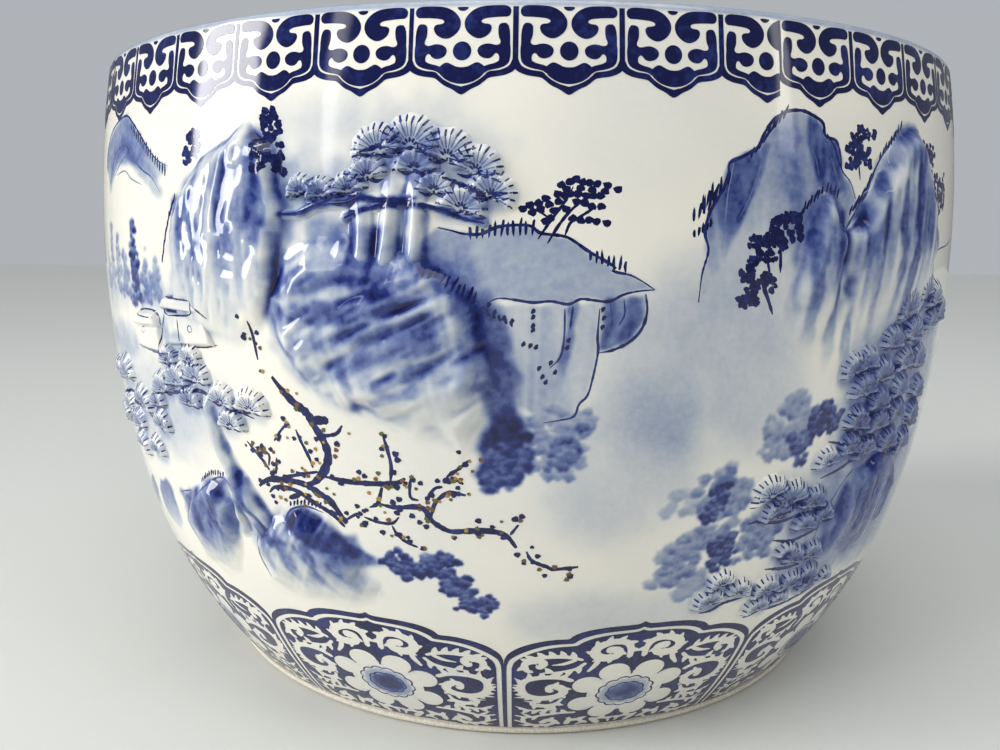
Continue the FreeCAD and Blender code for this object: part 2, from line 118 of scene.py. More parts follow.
def edgeDistance(x, y, ring):
    best = np.full(x.shape, 1e9)
    inside = np.zeros(x.shape, bool)
    for a, b in zip(ring, np.roll(ring, -1, 0)):
        ex, ey = b - a
        along = np.clip(((x - a[0]) * ex + (y - a[1]) * ey) / (ex * ex + ey * ey + 1e-9), 0, 1)
        best = np.minimum(best, np.hypot(x - a[0] - along * ex, y - a[1] - along * ey))
        cut = a[0] + (y - a[1]) * ex / (ey if abs(ey) > 1e-9 else 1e-9)
        inside ^= ((a[1] > y) != (b[1] > y)) & (x < cut)
    return np.where(inside, best, -best)


def pathNear(x, y, path):
    # distance to a line in mm, and the share of its length where it comes nearest
    best = np.full(x.shape, 1e9)
    share = np.zeros(x.shape)
    for n, (a, b) in enumerate(zip(path[:-1], path[1:])):
        ex, ey = b - a
        along = np.clip(((x - a[0]) * ex + (y - a[1]) * ey) / (ex * ex + ey * ey + 1e-9), 0, 1)
        far = np.hypot(x - a[0] - along * ex, y - a[1] - along * ey)
        share = np.where(far < best, (n + along) / (len(path) - 1), share)
        best = np.minimum(best, far)
    return best, share


def smoothRing(points, rounds=2):
    points = np.asarray(points, float)
    for _ in range(rounds):
        after = np.roll(points, -1, 0)
        points = np.stack([0.75 * points + 0.25 * after, 0.25 * points + 0.75 * after], 1).reshape(-1, 2)
    return points


def smoothPath(points, step=1.3):
    # Catmull-Rom through the points, then even steps in mm
    points = np.asarray(points, float)
    if len(points) > 2:
        ends = np.vstack([2 * points[0] - points[1], points, 2 * points[-1] - points[-2]])
        t = np.linspace(0, 1, 7)[:-1, None]
        parts = []
        for a, b, c, d in zip(ends[:-3], ends[1:-2], ends[2:-1], ends[3:]):
            parts.append(0.5 * (2 * b + (c - a) * t + (2 * a - 5 * b + 4 * c - d) * t ** 2
                                + (3 * b - a - 3 * c + d) * t ** 3))
        points = np.vstack(parts + [points[-1:]])
    mm = flat(points)
    length = np.concatenate([[0], np.cumsum(np.hypot(*np.diff(mm, axis=0).T))])
    count = max(3, int(length[-1] / step) + 2)
    at = np.linspace(0, length[-1], count)
    return np.stack([np.interp(at, length, points[:, 0]), np.interp(at, length, points[:, 1])], -1)


# Washes of diluted cobalt, laid one over another on a fine sheet that goes round the bowl.
# Each cell keeps the share of white that is left.
sheetPitch = (0.12, 0.5)
reachRadius = 150.0
sheetRows, sheetColumns = 626, 3000
sheet = np.ones((sheetRows, sheetColumns))


def placed(points, shift, flip):
    points = np.array(points, float)
    points[:, 0] = (-points[:, 0] if flip else points[:, 0]) + shift
    return points


def sheetWindow(low, high):
    columns = np.arange(math.floor(low[0] / sheetPitch[0]), math.ceil(high[0] / sheetPitch[0]) + 1)
    rows = np.arange(max(0, math.floor(low[1] / sheetPitch[1])),
                     min(sheetRows - 1, math.ceil(high[1] / sheetPitch[1])) + 1)
    turn, climb = np.meshgrid(columns * sheetPitch[0], rows * sheetPitch[1])
    return np.ix_(rows, columns % sheetColumns), turn, climb


def streaked(turn, climb, amount, lean):
    # runs of thick and thin pigment down a rock
    broad = smoothNoise(turn + lean * climb, climb, 300, 46.0, 7)
    narrow = smoothNoise(turn + lean * climb, climb, 760, 30.0, 8)
    return 1 + amount * (1.3 * broad + 0.9 * narrow - 1.1)


def area(tone, soft, ring, gone=0.0, full=0.0, shift=0.0, flip=False, streak=0.0, lean=0.0):
    # a wash inside a ring; it fades from the climb where it is full to where it is gone
    ring = placed(ring, shift, flip)
    reach = np.array([math.degrees(soft / reachRadius) + 0.5, soft])
    cells, turn, climb = sheetWindow(ring.min(0) - reach, ring.max(0) + reach)
    wobble = smoothNoise(turn, climb, 240, 6.0, 3) - 0.5
    far = edgeDistance(np.radians(turn) * radiusAt(climb), climb, flat(ring)) + wobble * min(soft, 4.0) * 1.6
    amount = tone * ease(0.5 + far / (2 * soft))
    if full != gone:
        amount *= ease((climb - gone) / (full - gone))
    amount *= 0.74 + 0.4 * smoothNoise(turn, climb, 46, 26.0,
                                       5) + 0.16 * (smoothNoise(turn, climb, 520, 2.8, 4) - 0.5)
    if streak:
        amount *= streaked(turn, climb, streak, -lean if flip else lean)
    sheet[cells] *= 1 - np.clip(amount, 0, 0.97)


def brush(tone, half, soft, path, shift=0.0, flip=False, tail=0.0):
    # a soft stroke; the tail is the share of its length over which it runs dry
    path = placed(path, shift, flip)
    reach = np.array([math.degrees((half + soft) / reachRadius) + 0.5, half + soft])
    cells, turn, climb = sheetWindow(path.min(0) - reach, path.max(0) + reach)
    wobble = smoothNoise(turn, climb, 240, 6.0, 3) - 0.5
    far, share = pathNear(np.radians(turn) * radiusAt(climb), climb, flat(path))
    amount = tone * ease(1 - (far + wobble * min(soft, 3.0) - half) / soft)
    if tail:
        amount *= ease((1 - share) / tail)
    grain = 0.3 if soft < 10 else 0.08
    fine = smoothNoise(turn, climb, 520, 2.8, 4) - 0.5
    broad = smoothNoise(turn, climb, 46, 26.0, 5) - 0.5
    amount *= 0.9 + grain * fine + 0.2 * broad
    sheet[cells] *= 1 - np.clip(amount, 0, 0.97)


def scattered(ring, count, seed, rough=5.0):
    # places inside a ring with a ragged edge, from the top down
    random = np.random.default_rng(seed)
    ring = np.asarray(ring, float)
    spots = ring.min(0) - [0.4, 1.5] + (ring.max(0) - ring.min(0) + [0.8, 3]) * random.random((count * 5, 2))
    mm = flat(spots)
    ragged = rough * (smoothNoise(spots[:, 0], spots[:, 1], 420, 4.0, seed) - 0.5)
    inside = edgeDistance(mm[:, 0], mm[:, 1], flat(ring)) + ragged > 0
    spots = spots[inside][:count]
    return spots[np.argsort(-spots[:, 1])], random


def puffs(ring, count, size, tone, soft, seed, cover=0.85, shift=0.0, flip=False):
    # rounded clumps of leaves, each laid over the last and darker towards its foot
    spots, random = scattered(ring, count, seed)
    for t, s in placed(spots, shift, flip):
        wide = size * (0.65 + 0.7 * random.random())
        depth = tone * (0.7 + 0.5 * random.random())
        reach = np.array([math.degrees((1.3 * wide + soft) / reachRadius), 1.3 * wide + soft])
        cells, turn, climb = sheetWindow((t, s) - reach, (t, s) + reach)
        x = np.radians(turn - t) * float(radiusAt(s))
        y = climb - s
        angle = np.arctan2(y, x)
        edge = wide * (1 + 0.1 * np.sin(3 * angle + 7 * t) + 0.07 * np.sin(5 * angle + s))
        mask = cover * ease(0.5 + (edge - np.hypot(x, 1.2 * y)) / (2 * soft))
        shade = np.clip(depth * (1 - 0.42 * y / wide), 0, 0.97)
        sheet[cells] = sheet[cells] * (1 - mask) + (1 - shade) * mask


def reserve(t, s, wide):
    # the white left round a blossom
    reach = np.array([math.degrees(1.9 * wide / reachRadius), 1.9 * wide])
    cells, turn, climb = sheetWindow((t, s) - reach, (t, s) + reach)
    far = np.hypot(np.radians(turn - t) * float(radiusAt(s)), climb - s)
    sheet[cells] = 1 - (1 - sheet[cells]) * ease((far - 0.6 * wide) / (1.3 * wide))


def washTone(turn, climb):
    across = (np.asarray(turn, float) % 360.0) / sheetPitch[0]
    along = np.clip(np.asarray(climb, float) / sheetPitch[1], 0, sheetRows - 1.01)
    i = np.floor(across).astype(int)
    j = along.astype(int)
    u = across - i
    v = along - j
    low = sheet[j, i % sheetColumns] * (1 - u) + sheet[j, (i + 1) % sheetColumns] * u
    high = sheet[j + 1, i % sheetColumns] * (1 - u) + sheet[j + 1, (i + 1) % sheetColumns] * u
    return 1 - (low * (1 - v) + high * v)


# Reliefs: each is a height in mm over the wall on its own even grid of turn and climb.
reliefGrids = {}


def gridFor(turnLow, turnHigh, climbLow, climbHigh, pitch=0.75):
    middle = float(radiusAt(0.5 * (climbLow + climbHigh)))
    columns = int(math.radians(turnHigh - turnLow) * middle / pitch) + 2
    rows = int((climbHigh - climbLow) / pitch) + 2
    return np.meshgrid(np.linspace(turnLow, turnHigh, columns), np.linspace(climbLow, climbHigh, rows))


def blurred(lift):
    # each height becomes the mean of itself and its four neighbours
    return (lift + np.roll(lift, 1, 0) + np.roll(lift, -1, 0) + np.roll(lift, 1, 1) + np.roll(lift, -1, 1)) / 5


def cragGrid(ring, height, edge, slope, seed, deep=0.62, wide=11.0, long=2.4, foot=30.0):
    # folds run along a slope, in degrees up from level, and fade into the wall at the foot
    ring = np.asarray(ring, float)
    turn, climb = gridFor(ring[:, 0].min() - 1.2, ring[:, 0].max() + 1.2, ring[:, 1].min() - 4, ring[:, 1].max() + 4)
    x = np.radians(turn) * radiusAt(climb)
    far = edgeDistance(x, climb, flat(ring)) + 5 * (smoothNoise(turn, climb, 150, 9.0, seed + 9) - 0.5)
    tip = math.radians(slope)
    along = (x * math.cos(tip) + climb * math.sin(tip)) / (wide * long)
    across = (climb * math.cos(tip) - x * math.sin(tip)) / wide
    bend = foldNoise(0.9 * along, 0.45 * across, seed + 1) - 0.5
    folds = 0.0
    for share, finer, sway in ((0.52, 1.0, 1.5), (0.3, 2.1, 2.2), (0.18, 4.3, 3.0)):
        value = foldNoise(finer * along, finer * across + sway * bend, seed + int(10 * finer))
        folds = folds + share * (1 - np.abs(2 * value - 1) ** 1.4)
    lump = foldNoise(0.5 * along + 9, 0.5 * across, seed + 3)
    shape = (1 - deep) + deep * (0.85 * folds + 0.35 * lump)
    settle = 0.1 + 0.9 * ease((climb - ring[:, 1].min()) / foot)
    lift = height * ease(far / edge) * shape * settle - 0.5 * (1 - ease((far + 2.5) / 3.5))
    for _ in range(3 if long > 3 else 0):
        lift = blurred(lift)
    return turn, climb, lift


def fanGrid(fans, height, boughs=()):
    fans = np.asarray(fans, float)
    reach = fans[:, 2].max() * 1.25
    side = math.degrees(reach / 215.0) + 0.8
    turn, climb = gridFor(fans[:, 0].min() - side, fans[:, 0].max() + side,
                          fans[:, 1].min() - reach, fans[:, 1].max() + reach + 1, 0.62)
    lift = np.full(turn.shape, -0.5)
    for t, s, size, lean in fans:
        dx = np.radians(turn - t) * float(radiusAt(s))
        dy = climb - s + 0.45 * size
        rho = np.hypot(dx, dy)
        phi = np.arctan2(dx, dy) - math.radians(lean)
        outer = size * 1.3 * (1 - 0.05 * np.abs(np.sin(6.5 * phi)))
        share = rho / outer
        wide = ease((1.85 - np.abs(phi)) / 0.35 + 3 * ease(1 - rho / (0.3 * size)))
        body = ease((1 - share) / 0.42) * wide
        ribs = 1 - 0.14 * (0.5 - 0.5 * np.cos(13 * phi)) * ease(share / 0.4)
        raised = height * body * ribs * (0.5 + 0.5 * ease(share / 0.7)) - 0.5 * (1 - ease(body * 6))
        lift = np.maximum(lift, raised)
    for width, path in boughs:
        x = np.radians(turn) * radiusAt(climb)
        far = pathNear(x, climb, flat(smoothPath(path, 3)))[0]
        lift = np.maximum(lift, height * 0.5 * ease(1.25 - far / width) - 0.5 * ease(far / width - 1))
    return turn, climb, lift


def limbGrid(limbs, height):
    # a limb is (half width at its foot, half width at its top, path)
    every = np.vstack([np.asarray(path, float) for low, high, path in limbs])
    turn, climb = gridFor(every[:, 0].min() - 2.6, every[:, 0].max() + 2.6, every[:, 1].min() - 7,
                          every[:, 1].max() + 5, 0.6)
    x = np.radians(turn) * radiusAt(climb)
    lift = np.full(turn.shape, -0.5)
    for low, high, path in limbs:
        far, share = pathNear(x, climb, flat(smoothPath(path, 3)))
        width = (low + (high - low) * ease(1.6 * share)) * (0.85 + 0.3 * smoothNoise(turn, climb, 120, 9.0, 33))
        bark = 1 - 0.3 * smoothNoise(turn, climb, 500, 22.0, 34) - 0.26 * smoothNoise(turn, climb, 200, 9.0, 32)
        body = height * (1 - ease(0.95 * far / width)) * bark * (0.35 + 0.65 * ease(3 * share)) * (1 - 0.55
            * ease((share - 0.62) / 0.38))
        lift = np.maximum(lift, 1.25 * body - 0.5 * (1 - ease((width + 1.5 - far) / 2)))
    for _ in range(4):
        lift = blurred(lift)
    return turn, climb, lift


def slabGrid(blocks):
    every = np.vstack([np.asarray(b[1], float) for b in blocks])
    turn, climb = gridFor(every[:, 0].min() - 1, every[:, 0].max() + 1, every[:, 1].min() - 3, every[:, 1].max() + 3,
                          0.5)
    x = np.radians(turn) * radiusAt(climb)
    lift = np.full(turn.shape, -0.5)
    for height, ring in blocks:
        far = edgeDistance(x, climb, flat(ring))
        lift = np.maximum(lift, (height + 0.5) * ease(far / 3.0 + 0.3) - 0.5)
    return turn, climb, lift


def liftAt(turn, climb):
    turn = np.asarray(turn, float)
    climb = np.asarray(climb, float)
    best = np.zeros(turn.shape)
    for gridTurn, gridClimb, lift in reliefGrids.values():
        left, right = gridTurn[0, 0], gridTurn[0, -1]
        low, high = gridClimb[0, 0], gridClimb[-1, 0]
        here = turn - 360.0 * np.round((turn - 0.5 * (left + right)) / 360.0)
        near = (here > left) & (here < right) & (climb > low) & (climb < high)
        if not near.any():
            continue
        u = (here[near] - left) / (right - left) * (lift.shape[1] - 1)
        v = (climb[near] - low) / (high - low) * (lift.shape[0] - 1)
        i = np.clip(u.astype(int), 0, lift.shape[1] - 2)
        j = np.clip(v.astype(int), 0, lift.shape[0] - 2)
        u = u - i
        v = v - j
        value = ((lift[j, i] * (1 - u) + lift[j, i + 1] * u) * (1 - v)
                 + (lift[j + 1, i] * (1 - u) + lift[j + 1, i + 1] * u) * v)
        best[near] = np.maximum(best[near], value)
    return best


# Materials.

def addNode(tree, kind, inputs=(), operation=None):
    # sets or joins each input, found by its name or taken in order
    node = tree.nodes.new(kind)
    if operation:
        node.operation = operation
    for key, value in inputs.items() if isinstance(inputs, dict) else enumerate(inputs):
        if isinstance(value, bpy.types.NodeSocket):
            tree.links.new(value, node.inputs[key])
        elif value is not None:
            node.inputs[key].default_value = value
    return node


def rampNode(tree, factor, stops):
    node = addNode(tree, "ShaderNodeValToRGB", {"Fac": factor})
    ramp = node.color_ramp
    while len(ramp.elements) < len(stops):
        ramp.elements.new(0.5)
    for element, (place, colour) in zip(ramp.elements, stops):
        element.position = place
        element.color = colour + (1.0,)
    return node.outputs["Color"]


def noiseNode(tree, scale, detail):
    place = addNode(tree, "ShaderNodeTexCoord").outputs["Object"]
    return addNode(tree, "ShaderNodeTexNoise", {"Vector": place, "Scale": scale, "Detail": detail}).outputs["Fac"]


def bumpNode(tree, height, depth, shader):
    bump = addNode(tree, "ShaderNodeBump", {"Height": height, "Strength": 1.0, "Distance": depth})
    tree.links.new(bump.outputs["Normal"], shader.inputs["Normal"])


def cobaltGroup():
    # mixes the painted tone with fine settling of the pigment and gives the colour
    group = bpy.data.node_groups.new("cobaltUnderGlaze", "ShaderNodeTree")
    group.interface.new_socket("Tone", in_out="INPUT", socket_type="NodeSocketFloat")
    group.interface.new_socket("Color", in_out="OUTPUT", socket_type="NodeSocketColor")
    inside = addNode(group, "NodeGroupInput")
    outside = addNode(group, "NodeGroupOutput")
    both = addNode(group, "ShaderNodeMath", (noiseNode(group, 420.0, 4.0), noiseNode(group, 60.0, 2.0)), "ADD")
    spread = addNode(group, "ShaderNodeMapRange", {"Value": both.outputs[0], "From Min": 0.7, "From Max": 1.3,
                                                   "To Min": 0.86, "To Max": 1.12})
    times = addNode(group, "ShaderNodeMath", (inside.outputs["Tone"], spread.outputs["Result"]), "MULTIPLY")
    times.use_clamp = True
    colour = rampNode(group, times.outputs[0], [
        (0.0, (0.80, 0.763, 0.665)), (0.12, (0.60, 0.604, 0.585)), (0.3, (0.33, 0.375, 0.455)),
        (0.52, (0.11, 0.15, 0.315)), (0.74, (0.016, 0.029, 0.155)), (0.93, (0.003, 0.0052, 0.05))])
    group.links.new(colour, outside.inputs["Color"])
    return group


def newMaterial(name, roughness):
    material = bpy.data.materials.new(name)
    material.use_nodes = True
    shader = material.node_tree.nodes["Principled BSDF"]
    shader.inputs["Roughness"].default_value = roughness
    return material, material.node_tree, shader


def glazeMaterial(name, waves, depth):
    material, tree, shader = newMaterial(name, 0.055)
    shader.inputs["IOR"].default_value = 1.5
    tone = addNode(tree, "ShaderNodeAttribute")
    tone.attribute_name = "tone"
    colour = tree.nodes.new("ShaderNodeGroup")
    colour.node_tree = cobalt
    tree.links.new(tone.outputs["Fac"], colour.inputs["Tone"])
    tree.links.new(colour.outputs["Color"], shader.inputs["Base Color"])
    bumpNode(tree, noiseNode(tree, waves, 1.5), depth, shader)
    return material


def plainMaterial(name, colour, roughness, grain=0.0, spots=900.0):
    material, tree, shader = newMaterial(name, roughness)
    speck = noiseNode(tree, spots, 3.0)
    darker = tuple(c * 0.72 for c in colour)
    tree.links.new(rampNode(tree, speck, [(0.3, darker), (0.62, colour)]), shader.inputs["Base Color"])
    if grain > 0:
        bumpNode(tree, speck, grain, shader)
    return material


cobalt = cobaltGroup()
materials = {
    "wall": glazeMaterial("wallGlaze", 34.0, 0.00035),
    "relief": glazeMaterial("reliefGlaze", 60.0, 0.0003),
    "foot": plainMaterial("bareFoot", (0.69, 0.64, 0.54), 0.7, 0.0002),
    "ochre": plainMaterial("ochreDab", (0.36, 0.22, 0.055), 0.08),
    "olive": plainMaterial("oliveDab", (0.10, 0.105, 0.03), 0.08),
    "russet": plainMaterial("russetDab", (0.16, 0.075, 0.028), 0.08),
}


def buildMesh(name, points, quads, triangles, tone=None, normals=None, material="wall", corners=None):
    mesh = bpy.data.meshes.new(name)
    quads = np.asarray(quads, np.int32).reshape(-1, 4)
    triangles = np.asarray(triangles, np.int32).reshape(-1, 3)
    mesh.vertices.add(len(points))
    mesh.vertices.foreach_set("co", np.asarray(points, np.float32).ravel())
    loops = np.concatenate([quads.ravel(), triangles.ravel()])
    mesh.loops.add(len(loops))
    mesh.loops.foreach_set("vertex_index", loops)
    starts = np.concatenate([np.arange(len(quads)) * 4, len(quads) * 4 + np.arange(len(triangles)) * 3])
    mesh.polygons.add(len(starts))
    mesh.polygons.foreach_set("loop_start", starts.astype(np.int32))
    mesh.update(calc_edges=True)
    mesh.validate()
    mesh.shade_smooth()
    if tone is not None:
        mesh.attributes.new("tone", "FLOAT", "POINT").data.foreach_set("value", np.asarray(tone, np.float32))
    if corners is not None:
        layer = mesh.uv_layers.new(name="OFBake")
        layer.data.foreach_set("uv", np.asarray(corners, np.float32).ravel())
    if normals is not None:
        mesh.normals_split_custom_set_from_vertices(np.asarray(normals, float).tolist())
    mesh.materials.append(materials[material])
    piece = bpy.data.objects.new(name, mesh)
    bpy.context.scene.collection.objects.link(piece)
    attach(piece, "root")
    return piece


# Landscape: every motif is drawn once in turn and climb, then set round the bowl.

crownFans = [(-12.5, 266, 9, -8), (-9.6, 268, 10, 0), (-6.4, 264, 9, 12), (-9.2, 259.5, 7.5, 0), (-13.4, 257, 7, -14),
             (-4.0, 259, 8.5, 20), (-2.7, 251, 8, 28), (-5.2, 246.5, 8, 16), (-15.2, 252, 6.5, -10),
             (-17.8, 250.5, 6.5, -8), (-19.9, 251.5, 6, -20), (-7.5, 252, 6.5, 6)]
leftUpperFans = [(-41.8, 171, 8.5, -14), (-38.4, 176, 9, -4), (-34.8, 179, 8.5, 4), (-31.2, 171, 8, 10),
                 (-27.2, 170, 8.5, 6), (-30.2, 161.5, 7.5, 4), (-36.4, 168, 8, 0), (-35.4, 186, 7, 4),
                 (-39.6, 184, 7, -6)]
leftLowerFans = [(-57.5, 168, 9.5, -10), (-52.8, 172, 9.5, -4), (-48.6, 162, 9.5, 4), (-51.4, 147, 9.5, -6),
                 (-46.4, 139, 9, 8), (-55.5, 155, 9.5, -14), (-44.4, 152, 8, 12), (-59, 145, 9, -12),
                 (-53, 135, 8.5, -4), (-43, 163, 7.5, 8)]


def loosened(fans, seed):
    # no two tufts sit alike
    shifts = np.random.default_rng(seed).random((len(fans), 4)) - 0.5
    return [(t + 1.5 * a, s + 4 * b, size * (1 + 0.3 * c), lean + 34 * d) for (t, s, size, lean),
            (a, b, c, d) in zip(fans, shifts)]


rightUpperFans = [(52, 211, 9, 10), (48, 213, 9, 4), (44, 207, 9, 0), (55, 203, 9, 14), (50.5, 199, 9, 8),
                  (46, 197, 9, 0), (41.5, 193, 9, -4), (37.5, 189, 8.5, -8), (34.6, 184, 7.5, -10), (40, 181, 8.5, 0),
                  (36.5, 176, 8.5, -6), (44.5, 185, 9, 4), (49, 186, 9, 8)]
rightMiddleFans = [(41, 170, 8.5, 0), (45.5, 173, 9, 6), (50, 171, 9, 10), (37, 162, 8.5, -6), (41.5, 159, 8.5, 2),
                   (46, 160, 9, 6), (36, 151, 8.5, -8), (40.4, 148, 8.5, 2), (33, 146, 8, -12), (45, 148, 9, 8),
                   (50, 157, 9, 10), (49.4, 144, 9, 10)]
rightLowerFans = [(25.4, 138, 7.5, -10), (28.8, 135, 8.5, -2), (31.8, 130, 7.5, 6), (27.6, 127, 7, -6),
                  (31.2, 118, 7.5, 2), (34.4, 120, 7, 8), (31.6, 104, 7.5, 0), (34.8, 105, 7.5, 6),
                  (29.6, 107, 6.5, -8), (22.2, 98, 6.5, -10), (21, 89, 8, -14), (25, 94, 7.5, -4), (28.4, 91, 7.5, 2),
                  (32, 90, 7.5, 6), (35.6, 92, 7.5, 8), (28.6, 79, 6.5, -6), (32, 81, 7, 2), (35.6, 83, 7, 6),
                  (39, 86, 6.5, 10)]
leftLowerFans = loosened(leftLowerFans, 1)
rightUpperFans = loosened(rightUpperFans, 2)
rightMiddleFans = loosened(rightMiddleFans, 3)
rightLowerFans = loosened(rightLowerFans, 4)
backCrownFans = [(191.5, 233, 10, -8), (196.5, 240, 11, -2), (202.0, 247, 13, 0), (207.5, 240, 11, 6),
                 (212.0, 235, 10, 12)]
backPadFans = [(226.0, 170, 10, -8), (231.0, 175, 11, 0), (236.0, 164, 11, 4), (240.0, 151, 10, 8)]
sidePadFans = [(104.0, 157, 10, -8), (109.0, 163, 11, 0), (114.0, 152, 11, 4), (118.0, 141, 10, 8)]

boughs = {
    "crown": [(-22, 241), (-20, 241.5), (-18.5, 244), (-17, 245), (-15.5, 245), (-14, 247), (-12.5, 246),
              (-9, 246.5)],
    "crownLow": [(-15.5, 240), (-13.5, 243), (-11, 244.5), (-9, 244.5), (-7, 243), (-5, 240), (-3.2, 238.5)],
}

cliffRing = [(-22.5, 226), (-20, 233), (-16, 236), (-12, 232), (-8, 230), (-5.5, 222), (-3.5, 212), (-2.2, 200),
             (-1.8, 185), (-2.4, 168), (-3.5, 152), (-6, 150), (-8.5, 158), (-12, 165), (-16, 168), (-19, 174),
             (-22, 182), (-24, 196), (-24.5, 212)]
leftPeakRing = [(-38.2, 196), (-37.6, 225), (-36.6, 240), (-35.2, 252), (-32.4, 262), (-29.5, 270), (-26, 274),
                (-23, 268), (-21.6, 252), (-21.2, 235), (-22.5, 215), (-24.5, 200), (-27, 188), (-32, 190)]
rightPeakRing = [(31.2, 205), (31.5, 236), (34, 251), (36.2, 263), (38.5, 272), (41.5, 279), (44, 277), (45.5, 270),
                 (47.4, 262), (48.8, 248), (49.8, 230), (50, 205), (47, 198), (42, 194), (36, 192)]
rightSpurRing = [(24.6, 196), (25.2, 215), (26, 236), (27.5, 249), (29.5, 253), (31.2, 246), (32.2, 230), (32.2, 205),
                 (30, 192), (27, 190)]
backPeakRing = [(158, 200), (160, 225), (163, 244), (166.5, 262), (170, 272), (173.5, 262), (176, 255), (179, 238),
                (182.5, 220), (183, 198), (176, 192), (166, 192)]
backCliffRing = [(192, 160), (193, 185), (196, 208), (202, 222), (208, 224), (213, 212), (216, 190), (215, 165),
                 (208, 154), (199, 152)]

trunkLines = [
    [(-14.6, 218), (-14.0, 226), (-13.8, 236), (-14.0, 247)],
    [(-12.4, 216), (-11.8, 226), (-11.5, 238), (-11.0, 251)],
    [(-9.8, 218), (-9.3, 228), (-9.1, 240), (-9.0, 256)],
    [(-27.6, 110), (-29.4, 122), (-31.2, 138), (-32.8, 152), (-33.6, 165)],
    [(-26.0, 112), (-28.4, 124), (-30.2, 136)],
    [(-31.4, 112), (-30.8, 124), (-31.0, 138)],
    [(206, 216), (204.4, 226), (202.6, 243)],
]

reliefs = {
    "centre_cliff_relief": cragGrid(cliffRing, 6.0, 13.0, 30, 15, 0.78, 16.0),
    "left_peak_relief": cragGrid(leftPeakRing, 5.2, 8.0, 74, 21, 0.62, 15.0, 2.0),
    "right_peak_relief": cragGrid(rightPeakRing, 5.4, 9.0, 88, 43, 0.56, 10.0, 7.5, 40.0),
    "right_spur_relief": cragGrid(rightSpurRing, 4.4, 8.0, 84, 54, 0.5, 9.0, 7.0, 36.0),
    "shore_rock_left": cragGrid([(-43, 84), (-43.5, 108), (-41, 122), (-37.5, 131), (-34, 132), (-32, 124),
                                 (-32.5, 104), (-34, 86), (-38, 80)],
                                4.6, 9.0, 112, 61, 0.55, 12.0),
    "shore_rock_centre": cragGrid([(-31, 84), (-30.5, 108), (-27, 122), (-23, 129), (-19.5, 126), (-17, 112),
                                   (-14.5, 96), (-15, 84), (-20, 79), (-26, 78)], 4.8, 10.0, 118, 71, 0.6, 12.0),
    "right_rock_relief": cragGrid([(35, 96), (35.5, 118), (38.5, 138), (43, 146), (48, 144), (50.5, 128), (50.5, 104),
                                   (46, 92), (40, 90)],
                                  4.6, 10.0, 80, 81, 0.55),
    "back_peak_relief": cragGrid(backPeakRing, 5.4, 9.0, 86, 91, 0.6, 12.0, 4.2, 40.0),
    "back_cliff_relief": cragGrid(backCliffRing, 5.6, 9.0, 34, 101, 0.7),
    "back_shore_rock": cragGrid([(165, 86), (166, 112), (171, 126), (178, 130), (186, 124), (190, 106), (189, 88),
                                 (178, 82)],
                                4.6, 10.0, 112, 111, 0.6, 12.0),
    "centre_pine_crown": fanGrid(crownFans, 3.0, [(2.4, boughs["crown"]), (2.2, boughs["crownLow"])]),
    "left_pine_upper_pads": fanGrid(leftUpperFans, 2.7),
    "left_pine_lower_pads": fanGrid(leftLowerFans, 2.7),
    "right_pine_upper_pads": fanGrid(rightUpperFans, 2.7),
    "right_pine_middle_pads": fanGrid(rightMiddleFans, 2.7),
    "right_pine_lower_pads": fanGrid(rightLowerFans, 2.7),
    "back_pine_crown": fanGrid(backCrownFans, 3.0),
    "back_pine_pads": fanGrid(backPadFans, 2.7),
    "side_pine_pads": fanGrid(sidePadFans, 2.7),
    "centre_pine_trunk": limbGrid([(7.0, 5.6, trunkLines[0]), (6.6, 5.4, trunkLines[1]), (7.2, 5.2, trunkLines[2])],
                                  3.8),
    "left_pine_trunk": limbGrid([(8.0, 5.0, trunkLines[3]), (5.0, 4.0, trunkLines[4]), (5.0, 4.0, trunkLines[5])],
                                4.4),
    "back_pine_trunk": limbGrid([(8.0, 5.0, trunkLines[6])], 4.8),
    "pavilion_gate_relief": slabGrid([(1.6, [(-46.2, 184), (-46, 195), (-40.8, 196), (-40.4, 184)]),
                                      (3.0, [(-46.8, 194), (-45.2, 201), (-41.2, 201.5), (-40.2, 195)])]),
    "pavilion_hall_relief": slabGrid([(2.0, [(-39.4, 188), (-39.2, 204), (-32.2, 203), (-31.2, 190)]),
                                      (3.4, [(-40, 203), (-38.6, 209), (-33.4, 209.5), (-31, 202)])]),
}
reliefGrids.update(reliefs)
print("reliefs worked out", len(reliefGrids))

farPeak = [(15.6, 212), (15.8, 222), (16.3, 230), (15.9, 236), (16.3, 243), (17.5, 251), (18, 256), (18.1, 260),
           (19.5, 262.5), (21, 266), (21.5, 270), (22.5, 275), (24, 278.5), (25.7, 279.3), (27, 278), (28.3, 275.5),
           (28.6, 271), (30, 269.5), (30.6, 264), (30.8, 259), (32, 255), (32.8, 249)]
mainPeak = [(30.4, 232), (32, 240), (34, 250), (36, 262), (38, 270), (40, 277), (42, 279.5), (44, 277), (44.5, 270),
            (47, 262), (48, 250), (49, 235), (49.5, 220)]
farMountain = [(-56.5, 262), (-56, 270), (-54, 277), (-51, 281), (-48, 282.5), (-46, 279), (-44, 274), (-42, 268),
               (-40, 263), (-38, 260)]
nearRidge = [(-54, 255), (-52, 266), (-49.5, 270), (-47.5, 269.5), (-45.5, 264), (-43, 259), (-41, 256), (-39.2, 250)]
lowRidge = [(-52, 258), (-49, 264), (-47, 266), (-45, 263)]
plateauTop = [(-7.2, 237), (-6, 236), (-5, 235), (-3.5, 235), (-2, 237.5), (0.5, 238), (1.5, 235.5), (3.5, 234.5),
              (4.5, 232.5), (5.6, 229.5), (7.8, 224.5), (7.8, 222.8), (9.3, 221.5), (10.5, 219), (11.5, 216.5)]
